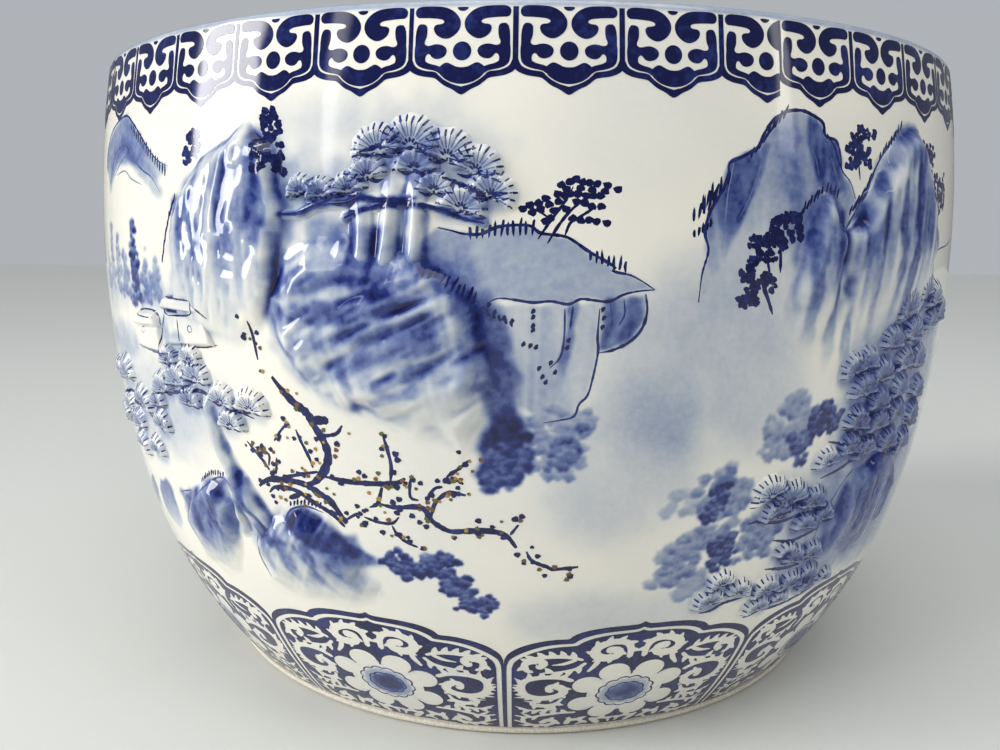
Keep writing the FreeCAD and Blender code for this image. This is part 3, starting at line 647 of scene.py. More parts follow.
plateauLip = [(11.5, 216.5), (10, 216), (8.7, 214.8), (7.5, 212.5), (6, 213), (5, 213.3), (4, 211.5), (2.5, 212.5),
              (1, 212), (-0.5, 212.8), (-2, 213.3), (-3, 211.5)]
plateauSide = [(10.7, 215), (10.9, 209), (10.5, 203), (9.5, 198.5), (8, 195.5), (6.7, 194.5)]
plateauFall = [(6.7, 210), (6.6, 200), (6.7, 195), (6.3, 185), (5.9, 179), (5.2, 176), (4.8, 171.5), (3.5, 170),
               (2, 169)]


# Front washes: far peak, main peak, spur, plateau, cliff, sky and shores.
for shift, flip in ((0.0, False), (100.0, True), (228.0, True)):
    area(0.36, 1.0, farPeak + [(31, 225), (28, 205), (20, 195), (16, 200)], 200, 256, shift, flip, 0.25)
    area(0.42, 1.0, [(18.1, 260), (19.5, 262.5), (21, 266), (21.3, 258), (20.4, 249), (19.4, 240), (18, 228),
                     (16.8, 220), (15.8, 230), (16.3, 243)],
         212, 246, shift, flip, 0.5, 0.05)
    area(0.3, 1.2, [(26.4, 278), (28.3, 275.5), (28.6, 271), (30, 269.5), (30.8, 262), (31.4, 252), (29.6, 250),
                    (27.6, 257), (26.6, 268)],
         236, 262, shift, flip, 0.7)
    for settings in ((0.3, 0.5, 1.6, [(21.8, 266), (21, 257), (20, 247), (19, 240)]),
                     (0.34, 0.8, 2.4, [(27, 276), (26.8, 268), (27.5, 262), (28, 255), (29.5, 250)]),
                     (0.2, 2, 6, [(24, 270), (24.4, 258), (25.5, 246), (25, 236)])):
        brush(*settings, shift, flip)
area(0.3, 2.0, mainPeak + [(49, 205), (44, 196), (36, 190), (30, 196)], 190, 244, streak=0.8)
area(0.4, 2.0, [(38, 270), (40, 277), (42, 279.5), (44, 277), (45, 268), (43, 262), (39, 262)], 248, 268)
for path in ([(33.4, 246), (33.2, 232), (32.6, 216), (33.2, 190), (33.4, 172)],
             [(36.4, 258), (36, 244), (35.2, 230), (36.0, 204), (36.6, 180)],
             [(39.4, 256), (39.0, 240), (39.6, 222), (39.4, 196)],
             [(42.4, 260), (42.4, 238), (41.8, 212), (42.2, 196)],
             [(45.2, 256), (45.4, 240), (45.8, 210)], [(48, 248), (48.2, 232), (48, 204)]):
    brush(0.55, 1.0, 3.2, path, tail=0.5)
for path in ([(34.8, 244), (34.2, 224), (34.6, 192)], [(37.8, 252), (37.4, 232), (37.8, 204)],
             [(41, 254), (40.6, 232), (40.8, 206)],
             [(43.8, 252), (43.8, 222)], [(46.8, 246), (46.8, 216)]):
    brush(0.3, 0.5, 2.2, path, tail=0.5)
area(0.34, 2.4, [(25, 200), (25.4, 236), (27.6, 249), (29.8, 252), (31, 240), (31.6, 210), (30, 190)], 186, 238,
     streak=0.7)
for settings in ((0.62, 1.2, 3.4, [(30.6, 242), (30.2, 222), (30.8, 202), (30.2, 180)]),
                 (0.5, 1.0, 3.0, [(27.2, 236), (27.8, 216), (27.4, 190)]),
                 (0.34, 0.7, 2.4, [(28.8, 246), (28.9, 226), (28.6, 200)])):
    brush(*settings, tail=0.5)
area(0.36, 1.0, plateauTop + plateauLip[1:] + [(-6, 213), (-9, 222), (-8.5, 232)])
area(0.2, 3.0, [(-8.5, 236), (-5, 234), (-3.4, 226), (-3, 216), (-7, 214), (-10, 224)])
area(0.24, 1.2, [(-3, 211), (4, 211), (6, 213), (8.7, 214.5), (10.8, 214.5), (10.9, 206), (9.6, 198.8), (6.7, 194.5),
                 (6.3, 185), (4.8, 171.5), (2, 169), (0, 176), (-1, 195)], streak=0.5)
area(0.4, 1.4, [(7.4, 213), (10.7, 215), (10.8, 206), (9.6, 199), (8, 196.4), (6.9, 196)])
brush(0.45, 0.5, 1.8, [(4.4, 211), (4.2, 201), (3.6, 190), (3.2, 178)], tail=0.5)
brush(0.36, 0.6, 2.0, [(7.6, 212), (7.6, 204), (7.2, 197)])
brush(0.3, 0.8, 2.2, [(9.6, 212), (9.6, 205), (8.8, 199)])
area(0.28, 3.0, cliffRing, 156, 206, streak=0.7, lean=0.05)
for tone, half, soft, path in ((0.72, 2.6, 6,
                                [(-3.4, 208), (-2.4, 196), (-1.6, 184), (-1.4, 170), (-2, 156), (-3, 146)]),
                               (0.55, 1.8, 4, [(-5.0, 212), (-4.4, 200), (-4.2, 188), (-5, 176)]),
                               (0.62, 1.8, 4.5, [(-20.6, 206), (-16.6, 207.6), (-12, 210.6), (-8, 211.5)]),
                               (0.4, 2.0, 5, [(-15, 200), (-12, 202), (-9, 205), (-6, 206)]),
                               (0.38, 1.2, 3.4, [(-14, 191), (-11, 194), (-8, 198), (-5.8, 199)]),
                               (0.56, 2.2, 5, [(-22.6, 215), (-19, 219), (-15, 220), (-12, 217.4), (-8.6, 216)]),
                               (0.4, 0.9, 2.4, [(-12.6, 182), (-9.6, 186.6), (-7, 190)]),
                               (0.34, 0.8, 2.2, [(-13, 175), (-10.4, 179), (-8, 182.6)]),
                               (0.34, 0.8, 2.4, [(-15.8, 186), (-15, 176), (-15.4, 168)]),
                               (0.36, 1.6, 4, [(-21, 193), (-17, 197), (-13.4, 201)]),
                               (0.3, 1.4, 4, [(-20, 182), (-16.4, 187), (-13, 192)]),
                               (0.45, 1.8, 5, [(-23.6, 236), (-23, 222), (-23, 206), (-21.6, 192)]),
                               (0.4, 2.6, 5, [(-18, 236), (-14, 233), (-9, 231)]),
                               (0.75, 3.4, 8, [(-1.2, 164), (-2.2, 152), (-1.8, 146)])):
    brush(tone, half, soft, path, tail=0.25)
for settings in ((0.26, 9.0, [(-25, 262), (-14, 258), (-14, 246), (-20, 236), (-26, 240)]),
                 (0.16, 13.0, [(-24, 276), (-14, 282), (-12, 268), (-18, 262)]),
                 (0.1, 7.0, [(-14, 275), (-7, 281), (-1, 266), (-3, 248), (-9, 252)])):
    area(*settings)
area(0.26, 3.0, leftPeakRing, 180, 240, streak=0.8)
for path in ([(-36.4, 246), (-36.8, 230), (-36, 214)], [(-32, 260), (-32.6, 244), (-31.6, 228), (-32.4, 210)],
             [(-28, 262), (-28.6, 246), (-27.6, 230), (-28.4, 212)],
             [(-24.6, 268), (-24.2, 252), (-25, 238), (-24, 222)], [(-34.4, 250), (-34, 234), (-34.6, 218)]):
    brush(0.42, 1.2, 3.4, path, tail=0.5)
brush(0.3, 2.2, 5, [(-39.6, 196), (-38.8, 186), (-37, 190)])
for shift, flip in ((0.0, False), (194.0, False), (82.0, True)):
    area(0.5, 1.6, farMountain + [(-40, 254), (-46, 262), (-50, 262), (-54, 254)], 246, 268, shift, flip)
    brush(0.25, 1.2, 4, nearRidge, shift, flip)
    for n, (t, low, high, tone, half) in enumerate(((-46, 204, 242, 0.86, 1.5), (-51.6, 208, 232, 0.42, 1.4),
                                                    (-54.4, 210, 238, 0.4, 1.2), (-49, 206, 229, 0.44, 1.3),
                                                    (-43, 204, 230, 0.46, 1.3), (-40.8, 206, 224, 0.4, 1.2),
                                                    (-57, 208, 226, 0.32, 1.5))):
        cone = [(t - half, low), (t - 0.7 * half, 0.5 * (low + high)), (t - 0.1, high), (t + 0.1, high),
                (t + 0.7 * half, 0.5 * (low + high)), (t + half, low)]
        puffs(cone, int(3.4 * (high - low)), 1.5, tone, 0.9, 500 + n, 0.6, shift, flip)
    area(0.22, 7.0, [(-60, 214), (-40, 216), (-38, 204), (-58, 200)], 0, 0, shift, flip)
area(0.24, 5.0, [(-60, 190), (-50, 194), (-46, 184), (-52, 178), (-60, 178)])
# Open water: a faint grey veil to the right of the cliff.
for settings in ((0.2, 9, 26, [(13, 176), (12.5, 194), (16, 206), (21, 192), (22, 176)]),
                 (0.16, 9, 24, [(12, 152), (10, 164), (8, 142)]),
                 (0.12, 4, 14, [(2, 84), (8, 87), (14, 84), (20, 88)])):
    brush(*settings)


def foldPoolingAndShade(low, high, amount):
    # darker in the hollows between folds and paler on their ridges: cobalt pools there where there is wash, and the
    # rest is painted shade in the hollows and a painted highlight on the ridges, over bare glaze as well
    cells, turn, climb = sheetWindow(low, high)
    lift = liftAt(turn, climb)
    level = lift
    for _ in range(36):
        level = blurred(level)
    inner = ease(np.minimum(turn - low[0], high[0] - turn)) * ease(np.minimum(climb - low[1], high[1] - climb) / 5)
    deep = 1.5 * amount * inner * ease(lift / 1.2) * (level - lift)
    sheet[cells] = 1 - (1 - sheet[cells] * (1 - np.clip(deep, 0, 0.8))) * (1 - np.clip(-1.2 * deep, 0, 0.7))


for low, high, amount in (((-26, 148), (-1, 238), 0.42), ((-39, 188), (-21, 276), 0.5), ((24, 192), (51, 281), 0.5),
                          ((20, 76), (60, 188), 0.32), ((-62, 80), (-14, 182), 0.3),
                          ((157, 190), (216, 274), 0.5), ((164, 82), (191, 132), 0.5)):
    foldPoolingAndShade(low, high, amount)
# Shore rocks.
area(0.74, 2.4, [(-25, 121), (-24, 126.5), (-22, 129), (-20, 127), (-18, 121), (-16, 113), (-13.6, 106), (-16.5, 104),
                 (-19.5, 108), (-22.5, 113)], 98, 116,
     streak=0.4, lean=-0.16)
area(0.36, 5.0, [(-30.5, 110), (-26, 122), (-21, 124), (-16, 108), (-15, 92), (-20, 84), (-28, 84)], 78, 118,
     streak=0.9, lean=-0.14)
for path in ([(-28.6, 116), (-28, 104), (-26.4, 92)], [(-25.6, 112), (-24.8, 100), (-23.4, 88)],
             [(-22.4, 110), (-21.4, 98), (-19.6, 88)], [(-19.4, 106), (-18, 98), (-16.8, 91)]):
    brush(0.42, 1.0, 3.2, path, tail=0.6)
area(0.58, 2.0, [(-44, 104), (-43.8, 118), (-40.5, 122), (-38, 126), (-35, 132), (-33, 133), (-32, 122), (-33, 104),
                 (-36, 88), (-41, 84)], 80, 122, streak=0.6, lean=-0.1)
for path in ([(-42, 116), (-42.2, 104), (-40, 90)], [(-38.6, 122), (-38.8, 108), (-37, 94)],
             [(-35, 128), (-35, 112), (-33.6, 98)]):
    brush(0.5, 1.3, 3.2, path, tail=0.6)
area(0.66, 1.6, [(-52.6, 97), (-52.4, 110), (-50.4, 118), (-47.6, 121), (-46.2, 116), (-46.6, 100), (-48.6, 93)], 84,
     118)
area(0.66, 1.6, [(-62, 96), (-60, 104), (-56.4, 113), (-54.4, 116), (-53.8, 110), (-55.6, 100), (-59, 92)], 84, 112)
# Trunks: a pale grey wash down each limb and darker grey along both its sides, painted shade on the rounded limb.
for line in trunkLines:
    brush(0.2, 2.0, 2.6, line)
    for side in (-1, 1):
        brush(0.4, 0.2, 1.7, [(t + side * 1.05 * (1 - 0.2 * n / len(line)), s) for n, (t, s) in enumerate(line)])
# Needle pads get a wash under their ribs, deeper on the right.
padSets = (crownFans, leftUpperFans, leftLowerFans, rightUpperFans, rightMiddleFans, rightLowerFans, backCrownFans,
           backPadFans, sidePadFans)
for number, fans in enumerate(padSets):
    for t, s, size, lean in fans:
        brush((0.3, 0.22, 0.22, 0.36, 0.36, 0.34, 0.3, 0.3, 0.3)[number], size * 0.3, size * 0.7,
              [(t - 0.8, s - 0.4 * size), (t + 0.8, s - 0.35 * size)])
area(0.3, 5.0, [(36, 100), (38.5, 138), (44, 147), (50, 142), (52, 110), (46, 96)], streak=0.6)
for path in ([(38, 130), (37.4, 114), (38.4, 98)], [(42, 140), (41.6, 122), (42.6, 104)],
             [(46.4, 138), (46.8, 118), (46, 100)]):
    brush(0.45, 1.0, 3.4, path, tail=0.5)
for settings in ((0.44, 10.0, [(34, 190), (44, 210), (56, 208), (58, 170), (50, 146), (34, 146)]),
                 (0.4, 10.0, [(28, 136), (42, 150), (58, 150), (58, 84), (30, 84)]),
                 (0.18, 12.0, [(-60, 182), (-42, 180), (-32, 176), (-30, 160), (-40, 140), (-58, 134)])):
    area(*settings)
for path in boughs.values():
    brush(0.85, 0.7, 1.2, path)

# Soft foliage: (ring, clumps, size, tone, softness, how far it covers what lies under it).
thickets = [
    ([(0.4, 150), (0.8, 170), (3, 175), (6.4, 173), (6.0, 160), (5.2, 147)], 60, 2.6, 0.42, 1.0, 0.7),
    ([(2.6, 152), (3.4, 164), (5.6, 168), (5.4, 152)], 18, 2.2, 0.58, 0.9, 0.7),
    ([(-3.6, 143), (-3, 158), (0.6, 163), (1.2, 150), (-1, 143)], 44, 2.8, 0.82, 1.4, 0.8),
    ([(-13.8, 108), (-12.6, 114), (-11, 113), (-10.4, 109), (-8, 108), (-8.2, 103), (-11, 102)], 36, 2.2, 0.84, 0.5,
     0.95),
    ([(-10, 106), (-9.4, 114), (-7, 115), (-6, 111), (-6.6, 103)], 30, 2.2, 0.82, 0.5, 0.95),
    ([(-8.6, 97), (-8, 104), (-5.4, 104), (-4.4, 98), (-5.8, 93)], 30, 2.2, 0.8, 0.5, 0.95),
    ([(-6.4, 88), (-5.4, 97), (-3, 95), (-1.8, 90), (-3.6, 85.6)], 28, 2.1, 0.8, 0.5, 0.95),
    ([(14.4, 132), (14.8, 141), (17.6, 142), (18.2, 132)], 20, 2.6, 0.34, 1.3, 0.6),
    ([(17.6, 116), (18, 144), (20.6, 150), (23, 141), (22.8, 116)], 74, 2.8, 0.5, 1.2, 0.65),
    ([(18.6, 127), (19.2, 142), (20.8, 143), (20.6, 129)], 22, 2.0, 0.9, 0.9, 0.85),
    ([(19.8, 103), (20.2, 117), (22.6, 120), (23.4, 111), (22.4, 104)], 34, 2.2, 0.84, 0.9, 0.85),
    ([(14, 99), (14.8, 117), (17, 121), (18.6, 112), (18.2, 100)], 46, 2.7, 0.46, 1.2, 0.65),
    ([(16.6, 90), (17, 104), (20.2, 104), (20, 92)], 28, 2.7, 0.38, 1.2, 0.6),
    ([(23, 106), (23.4, 124), (26.6, 126), (28, 118), (27.4, 106)], 50, 2.7, 0.5, 1.2, 0.65),
    ([(24, 152), (24.6, 172), (28, 177), (29.4, 166), (28.6, 150)], 60, 2.9, 0.44, 1.3, 0.65),
    ([(27, 150), (27.4, 160), (30, 158), (30, 148)], 20, 2.3, 0.66, 1.0, 0.75),
    ([(29.6, 158), (30.4, 170), (32.6, 171), (34.6, 165), (33.4, 158)], 44, 2.2, 0.92, 0.8, 0.9),
]
for number, (ring, count, size, tone, soft, cover) in enumerate(thickets):
    puffs(ring, int(1.9 * count), 0.8 * size, min(0.94, 1.16 * tone), 0.85 * soft, 300 + number, cover)
for number, (t, s, tone) in enumerate(((68, 114, 0.56), (84, 98, 0.48), (125, 103, 0.52), (155, 110, 0.58),
                                       (222, 110, 0.55), (264, 114, 0.56), (279, 98, 0.48))):
    for part, (across, along, wide, tall, deep) in enumerate(((0, 0, 3.4, 10, 1.0), (-4.6, -8, 2.8, 6, 0.8),
                                                              (4.6, -10, 3.2, 6, 0.9), (1.4, 10, 2.2, 7, 0.7),
                                                              (0.8, -3, 1.6, 6, 1.5))):
        angle = np.linspace(0, 2 * math.pi, 9)[:-1]
        ring = np.stack([t + across + wide * np.cos(angle), s + along + tall * np.sin(angle)], -1)
        puffs(ring, 30, 2.6, min(0.88, tone * deep), 1.1, 400 + 10 * number + part, 0.7)
# Back and side washes.
area(0.34, 2.0, backPeakRing, 186, 240, streak=0.8)
for t in (161, 164.5, 168, 171.5, 175, 179):
    brush(0.5, 0.8, 2.8, [(t + 0.2, 246 + 6 * math.sin(t)), (t + 0.6, 228), (t, 196)], tail=0.5)
area(0.4, 3.0, backCliffRing, 146, 190, streak=0.8, lean=0.05)
for t in (195, 199, 203, 207, 211):
    brush(0.5, 1.2, 4, [(t + 0.6, 204), (t + 1.6, 184), (t, 160)], tail=0.5)
area(0.45, 3.0, [(164, 100), (166, 114), (171, 128), (178, 132), (186, 126), (190, 108), (188, 88), (168, 86)], 78,
     122, streak=0.7, lean=-0.1)


# Lower border: cream scrolls and a flower are left open in a dark ground.
lowPitch, lowFirst = 31.3, -17.15
lowPanels = [(lowFirst + lowPitch * k, 1.0) for k in (-2, -1, 0, 1, 2)]
lowNarrow = (360.0 - 5 * lowPitch) / 7.0
lowPanels += [(lowFirst + lowPitch * 2.5 + lowNarrow * (k + 0.5), lowNarrow / lowPitch) for k in range(7)]
for middle, squeeze in lowPanels:
    turnOf = 3.32
    for k in range(8):
        brush(0.07, 0.3, 1.2, [(middle + math.sin(k * math.pi / 4) * 15.5 / turnOf * squeeze,
                                35 + math.cos(k * math.pi / 4) * 13.5),
                               (middle + math.sin(k * math.pi / 4) * 24 / turnOf * squeeze,
                                35 + math.cos(k * math.pi / 4) * 19)])
    for tone, wide, tall in ((0.3, 11.4, 10.4), (0.62, 7.8, 6.8), (0.4, 4.8, 4.2)):
        around = np.linspace(0, 2 * math.pi, 25)[:-1]
        area(tone, 0.9, np.stack([middle + wide / 3.34 * squeeze * np.cos(around), 35 + tall * np.sin(around)], -1))
print("washes laid")


branches = [
    (2.7, [(-24.2, 181), (-23.3, 177), (-22, 172), (-20.5, 168), (-19.8, 163), (-19, 158), (-18.6, 152), (-19, 147),
           (-19.7, 143), (-20.7, 139.5), (-21.8, 138)]),
    (2.2, [(-27.8, 134), (-26.5, 137.5), (-24.5, 138.8), (-22, 138.5), (-20.5, 136), (-19, 132.5), (-18, 127),
           (-17.5, 123.5)]),
    (1.6, [(-26.5, 132), (-25.5, 135), (-23, 135), (-21, 131), (-19, 127), (-17.7, 122)]),
    (1.2, [(-25, 139), (-22, 142.5), (-20, 144.5)]), (1.6, [(-24, 131), (-22.5, 133.5)]),
    (1.7, [(-19.5, 143), (-17, 142), (-15, 142), (-13, 142.5), (-11.5, 143.5), (-10.8, 145.5)]),
    (1.1, [(-12.3, 143), (-12.1, 150), (-12.4, 157), (-12.7, 161.5)]), (2.6, [(-20, 165.5), (-18.2, 166)]),
    (1.1, [(-19, 159.5), (-17.5, 161), (-16.8, 164.5)]), (1.2, [(-14.7, 132), (-13.8, 134), (-13.2, 141)]),
    (1.9, [(-13.8, 134), (-12, 133), (-10, 134), (-9, 133), (-8.5, 129), (-7.5, 126), (-6.5, 124.5), (-5, 125),
           (-3.5, 125.5), (-2, 125), (-1, 123), (-0.2, 118.5)]),
    (0.9, [(-0.8, 124), (0, 128.5)]), (1.3, [(0.8, 117), (1.2, 113.5), (2, 111.5), (3, 110), (3.5, 109), (6, 110)]),
    (1.2, [(-8.5, 129), (-8, 136), (-7, 140), (-6.5, 141), (-5, 140)]), (1.1, [(-8.8, 137), (-8, 142), (-7.2, 143)]),
    (1.2, [(-6.8, 147), (-5.5, 151), (-4.5, 154.5)]), (1.0, [(-6.2, 147), (-5.2, 144.5)]),
    (1.1, [(-10.3, 145), (-10.4, 138), (-9.6, 136.8)]),
    (1.0, [(-15.4, 127.5), (-14, 126), (-12.5, 126), (-11.7, 129)]),
    (1.0, [(-12.5, 125), (-12, 121), (-11, 118), (-10, 116.5)]),
    (1.0, [(-17.5, 125), (-16.8, 127), (-16, 129)]), (1.1, [(-28.5, 153), (-27.5, 149), (-26.5, 145), (-26, 142)]),
    (0.9, [(-27.5, 151), (-25.8, 149), (-26, 144)]), (0.9, [(-24.8, 148), (-25.1, 142)]),
    (1.1, [(-22, 161), (-21.5, 156), (-20.8, 150), (-20.5, 146)]),
    (0.9, [(-23, 163), (-24.2, 158), (-24.8, 155)]), (1.0, [(-26.2, 202), (-26, 195), (-25.7, 187)]),
]
for shift, flip in ((0.0, False), (150.0, True), (262.0, False)):
    for width, path in branches:
        for t, s in smoothPath(placed(path, shift, flip), 4.0):
            reserve(t, s, 3.2)


cells, turn, climb = sheetWindow((0.0, 0.0), (359.8, 312.5))
sheet[cells] *= 1 - 0.05 * smoothNoise(turn, climb, 46, 26.0, 5) - 0.035 * smoothNoise(turn, climb, 24, 60.0, 6)

# Walls: turned grids. The front has finer columns, because the washes are on the vertices.
columnTurns = np.concatenate([np.linspace(-62, 62, 321)[:-1], np.linspace(62, 298, 301)[:-1]])


def turnedPiece(name, node, material, climbs, chainAfter, chainBefore=(), poles=(None, None), lipTone=0.0):
    # chainBefore, outside climbs and chainAfter run round the section in one closed or pole-ended line
    climbs = np.asarray(climbs, float)
    count = len(columnTurns)
    before = np.asarray(chainBefore, float).reshape(-1, 2)
    after = np.asarray(chainAfter, float).reshape(-1, 2)
    section = np.vstack([before, np.stack([radiusAt(climbs), heightAt(climbs)], -1), after])
    rows = len(section)
    angle = np.radians(columnTurns)
    out = section[:, 0][:, None]
    points = np.stack([out * np.sin(angle), -out * np.cos(angle), section[:, 1][:, None] + 0 * angle], -1).reshape(-1,
        3) * 0.001
    tone = np.zeros((rows, count))
    if len(climbs):
        turn, climb = np.meshgrid(columnTurns, climbs)
        tone[len(before):len(before) + len(climbs)] = washTone(turn, climb)
    if lipTone:
        tone[len(before) + len(climbs):len(before) + len(climbs) + 5] = lipTone
    closed = poles[0] is None
    j = np.arange(count)
    k = np.arange(rows if closed else rows - 1)
    jj, kk = np.meshgrid(j, k)
    right = (jj + 1) % count
    upper = (kk + 1) % rows
    quads = np.stack([kk * count + jj, kk * count + right, upper * count + right, upper * count + jj], -1).reshape(-1,
        4)
    # bake map: six strips, with the outside rows given most of the room
    run = np.hypot(*np.diff(np.vstack([section, section[:1]]), axis=0).T)
    weight = np.where((np.arange(rows) >= len(before)) & (np.arange(rows) < len(before) + len(climbs) - 1), 1.0, 0.15)
    tall = np.concatenate([[0], np.cumsum(run * weight)])
    tall = tall / tall[-1]
    strips = 6
    wide = -(-count // strips)
    strip = jj // wide
    u0 = (jj - strip * wide) / wide * 0.98 + 0.01
    u1 = (jj + 1 - strip * wide) / wide * 0.98 + 0.01
    v0 = (strip + 0.03 + 0.94 * tall[kk]) / strips
    v1 = (strip + 0.03 + 0.94 * tall[kk + 1]) / strips
    corners = np.stack([np.stack([u0, v0], -1), np.stack([u1, v0], -1), np.stack([u1, v1], -1),
                        np.stack([u0, v1], -1)], -2).reshape(-1, 2)
    triangles = []
    if not closed:
        low = len(points)
        points = np.vstack([points, [[0, 0, poles[0] * 0.001], [0, 0, poles[1] * 0.001]]])
        tone = np.append(tone.ravel(), [0.0, 0.0])
        triangles = np.vstack([np.stack([np.full(count, low), (j + 1) % count, j], -1),
                               np.stack([np.full(count, low + 1), (rows - 1) * count + j,
                                         (rows - 1) * count + (j + 1) % count], -1)])
        corners = None
    step = np.roll(section, -1, 0) - np.roll(section, 1, 0)
    if not closed:
        step[0], step[-1] = [1e-6, 0], [-1e-6, 0]
    facing = np.stack([step[:, 1], -step[:, 0]], -1)
    if len(climbs):
        tilt = tiltAt(climbs)
        facing[len(before):len(before) + len(climbs)] = np.stack([np.cos(tilt), np.sin(tilt)], -1)
        if len(after) > 12 and after[0][0] < radiusAt(climbs[-1]) - 5:
            facing[len(before) + len(climbs)] = [-np.cos(tilt[-1]), -np.sin(tilt[-1])]
        if closed:
            last = section[-1] - section[-2]
            facing[-1] = [last[1], -last[0]]
    facing /= np.hypot(facing[:, 0], facing[:, 1])[:, None] + 1e-12
    normals = np.stack([facing[:, :1] * np.sin(angle), -facing[:, :1] * np.cos(angle), facing[:, 1:] + 0 * angle],
                       -1).reshape(-1, 3)
    if not closed:
        normals = np.vstack([normals, [[0, 0, -1], [0, 0, 1]]])
    piece = buildMesh(name, points, quads, triangles, tone.ravel(), normals, material, corners)
    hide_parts(node)


def arcChain(middle, height, radius, start, end, count):
    angle = np.linspace(start, end, count)
    return np.stack([middle + radius * np.cos(angle), height + radius * np.sin(angle)], -1)


footInside, footOutside = 153.6, 173.6
innerBaseRadius, innerShoulderRadius, innerJoint, innerFoot = 239.0, 489.0, -0.2322, -0.5098
turnedPiece("footRing", "foot_ring", "foot", [],
            [(footInside + 1.4, 0.0), (footOutside - 1.6, 0.0), (footOutside - 0.5, 0.5), (footOutside - 0.1, 1.4),
             (footOutside, 4.0),
             (footInside, 4.0), (footInside, 1.4), (footInside + 0.4, 0.4)])
innerBase = arcChain(base["middle"], base["height"], innerBaseRadius, innerJoint, innerFoot, 24)
floorHeight, floorTurnRadius = 24.0, 28.0
floorTurn = arcChain(158.5, floorHeight + floorTurnRadius, floorTurnRadius, innerFoot, -math.pi / 2, 10)[1:]
turnedPiece("lowerBowl", "lower_bowl", "wall", np.linspace(footClimb, beltClimb, 72),
            np.vstack([innerBase, floorTurn, [(out, floorHeight) for out in (120, 80, 40)]]),
            [(50, 10), (100, 10), (140, 10), (footInside - 1.2, 10), (footInside, 8.8), (footInside, 4.0),
             (footInside + 10, 4.0)], (10.0, 24.0))
innerShoulder = arcChain(shoulder["middle"], shoulder["height"], innerShoulderRadius, 0.1189, beltTilt, 34)
turnedPiece("upperWall", "upper_wall", "wall", np.linspace(beltClimb, rimClimb, 96),
            np.vstack([innerShoulder, arcChain(base["middle"], base["height"], innerBaseRadius, beltTilt, innerJoint,
                                               2)[1:]]))
lipHeight, lipRadius = 296.4, 3.6
lipOut = arcChain(219.4, lipHeight, lipRadius, 0.17, math.pi / 2, 8)[1:]
lipIn = arcChain(217.9, lipHeight, lipRadius, math.pi / 2, math.pi, 7)
turnedPiece("rimLip", "rim_lip", "wall", np.linspace(rimClimb, lipClimb, 20),
            np.vstack([lipOut, lipIn, [(214.6, 288), (215.1, 280), (216.05, 268.0)]]), lipTone=0.3)
print("walls turned")


wideRadius = 224.0


def skinPiece(name, low, high, pitch=0.66):
    # the painted front: a hair's breadth of glaze, fine enough to hold soft brushwork
    columns = int(math.radians(high[0] - low[0]) * wideRadius / pitch) + 1
    rows = int((high[1] - low[1]) / pitch) + 1
    turn, climb = np.meshgrid(np.linspace(low[0], high[0], columns), np.linspace(low[1], high[1], rows))
    a = np.arange(rows * columns).reshape(rows, columns)
    quads = np.stack([a[:-1, :-1], a[:-1, 1:], a[1:, 1:], a[1:, :-1]], -1).reshape(-1, 4)
    border = np.concatenate([a[0, :-1], a[:-1, -1], a[-1, :0:-1], a[:0:-1, 0]])
    count = rows * columns
    below = count + np.arange(len(border))
    after = np.roll(np.arange(len(border)), -1)
    sides = np.stack([border[after], border, below, below[after]], -1)
    middle = [0.5 * (low[0] + high[0]), 0.5 * (low[1] + high[1])]
    back = np.stack([below[after], below, np.full(len(border), count + len(border))], -1)
    turns = np.concatenate([turn.ravel(), turn.ravel()[border], middle[:1]])
    climbs = np.concatenate([climb.ravel(), climb.ravel()[border], middle[1:]])
    rise = np.concatenate([np.full(count, 0.03), np.full(len(border), -0.3), [-7.0]])
    angle, tilt = np.radians(turns), tiltAt(climbs)
    normals = np.stack([np.sin(angle) * np.cos(tilt), -np.cos(angle) * np.cos(tilt), np.sin(tilt)], -1)
    normals[-1] *= -1
    piece = buildMesh(name, wallPoint(turns, climbs, rise), np.vstack([quads, sides]), back, washTone(turns, climbs),
                      normals)


for number, left in enumerate((-60, -30, 0, 30)):
    skinPiece("paintedFront" + str(number + 1), (left, 82.0), (left + 30, 281.0))


def reliefPiece(node):
    turn, climb, lift = reliefGrids[node]
    rows, columns = lift.shape
    level = lift
    for _ in range(10):
        level = blurred(level)
    # tone darker in the hollows and paler on the ridges: pooled cobalt in the washes, plus painted shade in the
    # hollows, on bare glaze too, and a painted highlight on the ridges
    hollow = np.clip(level - lift, -0.7, 0.9)
    wash = washTone(turn, climb)
    thick = np.where(hollow > 0, 0.14 + 0.6 * wash, 0.5 * wash)
    tone = np.clip(wash + hollow * thick * ease(lift / 0.6), 0, 1)
    top = wallPoint(turn, climb, lift + 0.012 * (sorted(reliefGrids).index(node) % 7))
    under = wallPoint(turn, climb, -1.4)
    high = lift > -0.35
    cells = high[:-1, :-1] | high[1:, :-1] | high[:-1, 1:] | high[1:, 1:]
    row, column = np.nonzero(cells)
    size = rows * columns
    a = row * columns + column
    quad = np.stack([a, a + 1, a + 1 + columns, a + columns], -1)
    quads = [quad, quad[:, ::-1] + size]
    padded = np.pad(cells, 1)
    for dy, dx, first, second in ((0, -1, 3, 0), (0, 1, 1, 2), (-1, 0, 0, 1), (1, 0, 2, 3)):
        freeEdge = ~padded[row + 1 + dy, column + 1 + dx]
        edge = quad[freeEdge]
        quads.append(np.stack([edge[:, second], edge[:, first], edge[:, first] + size, edge[:, second] + size], -1))
    quads = np.vstack(quads)
    used, quads = np.unique(quads, return_inverse=True)
    quads = quads.reshape(-1, 4)
    points = np.vstack([top.reshape(-1, 3), under.reshape(-1, 3)])[used]
    tones = np.concatenate([tone.ravel(), tone.ravel()])[used]
    words = node.split("_")
    name = words[0] + "".join(word.capitalize() for word in words[1:])
    piece = buildMesh(name, points, quads, [], tones, None, "relief")
    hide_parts(node)


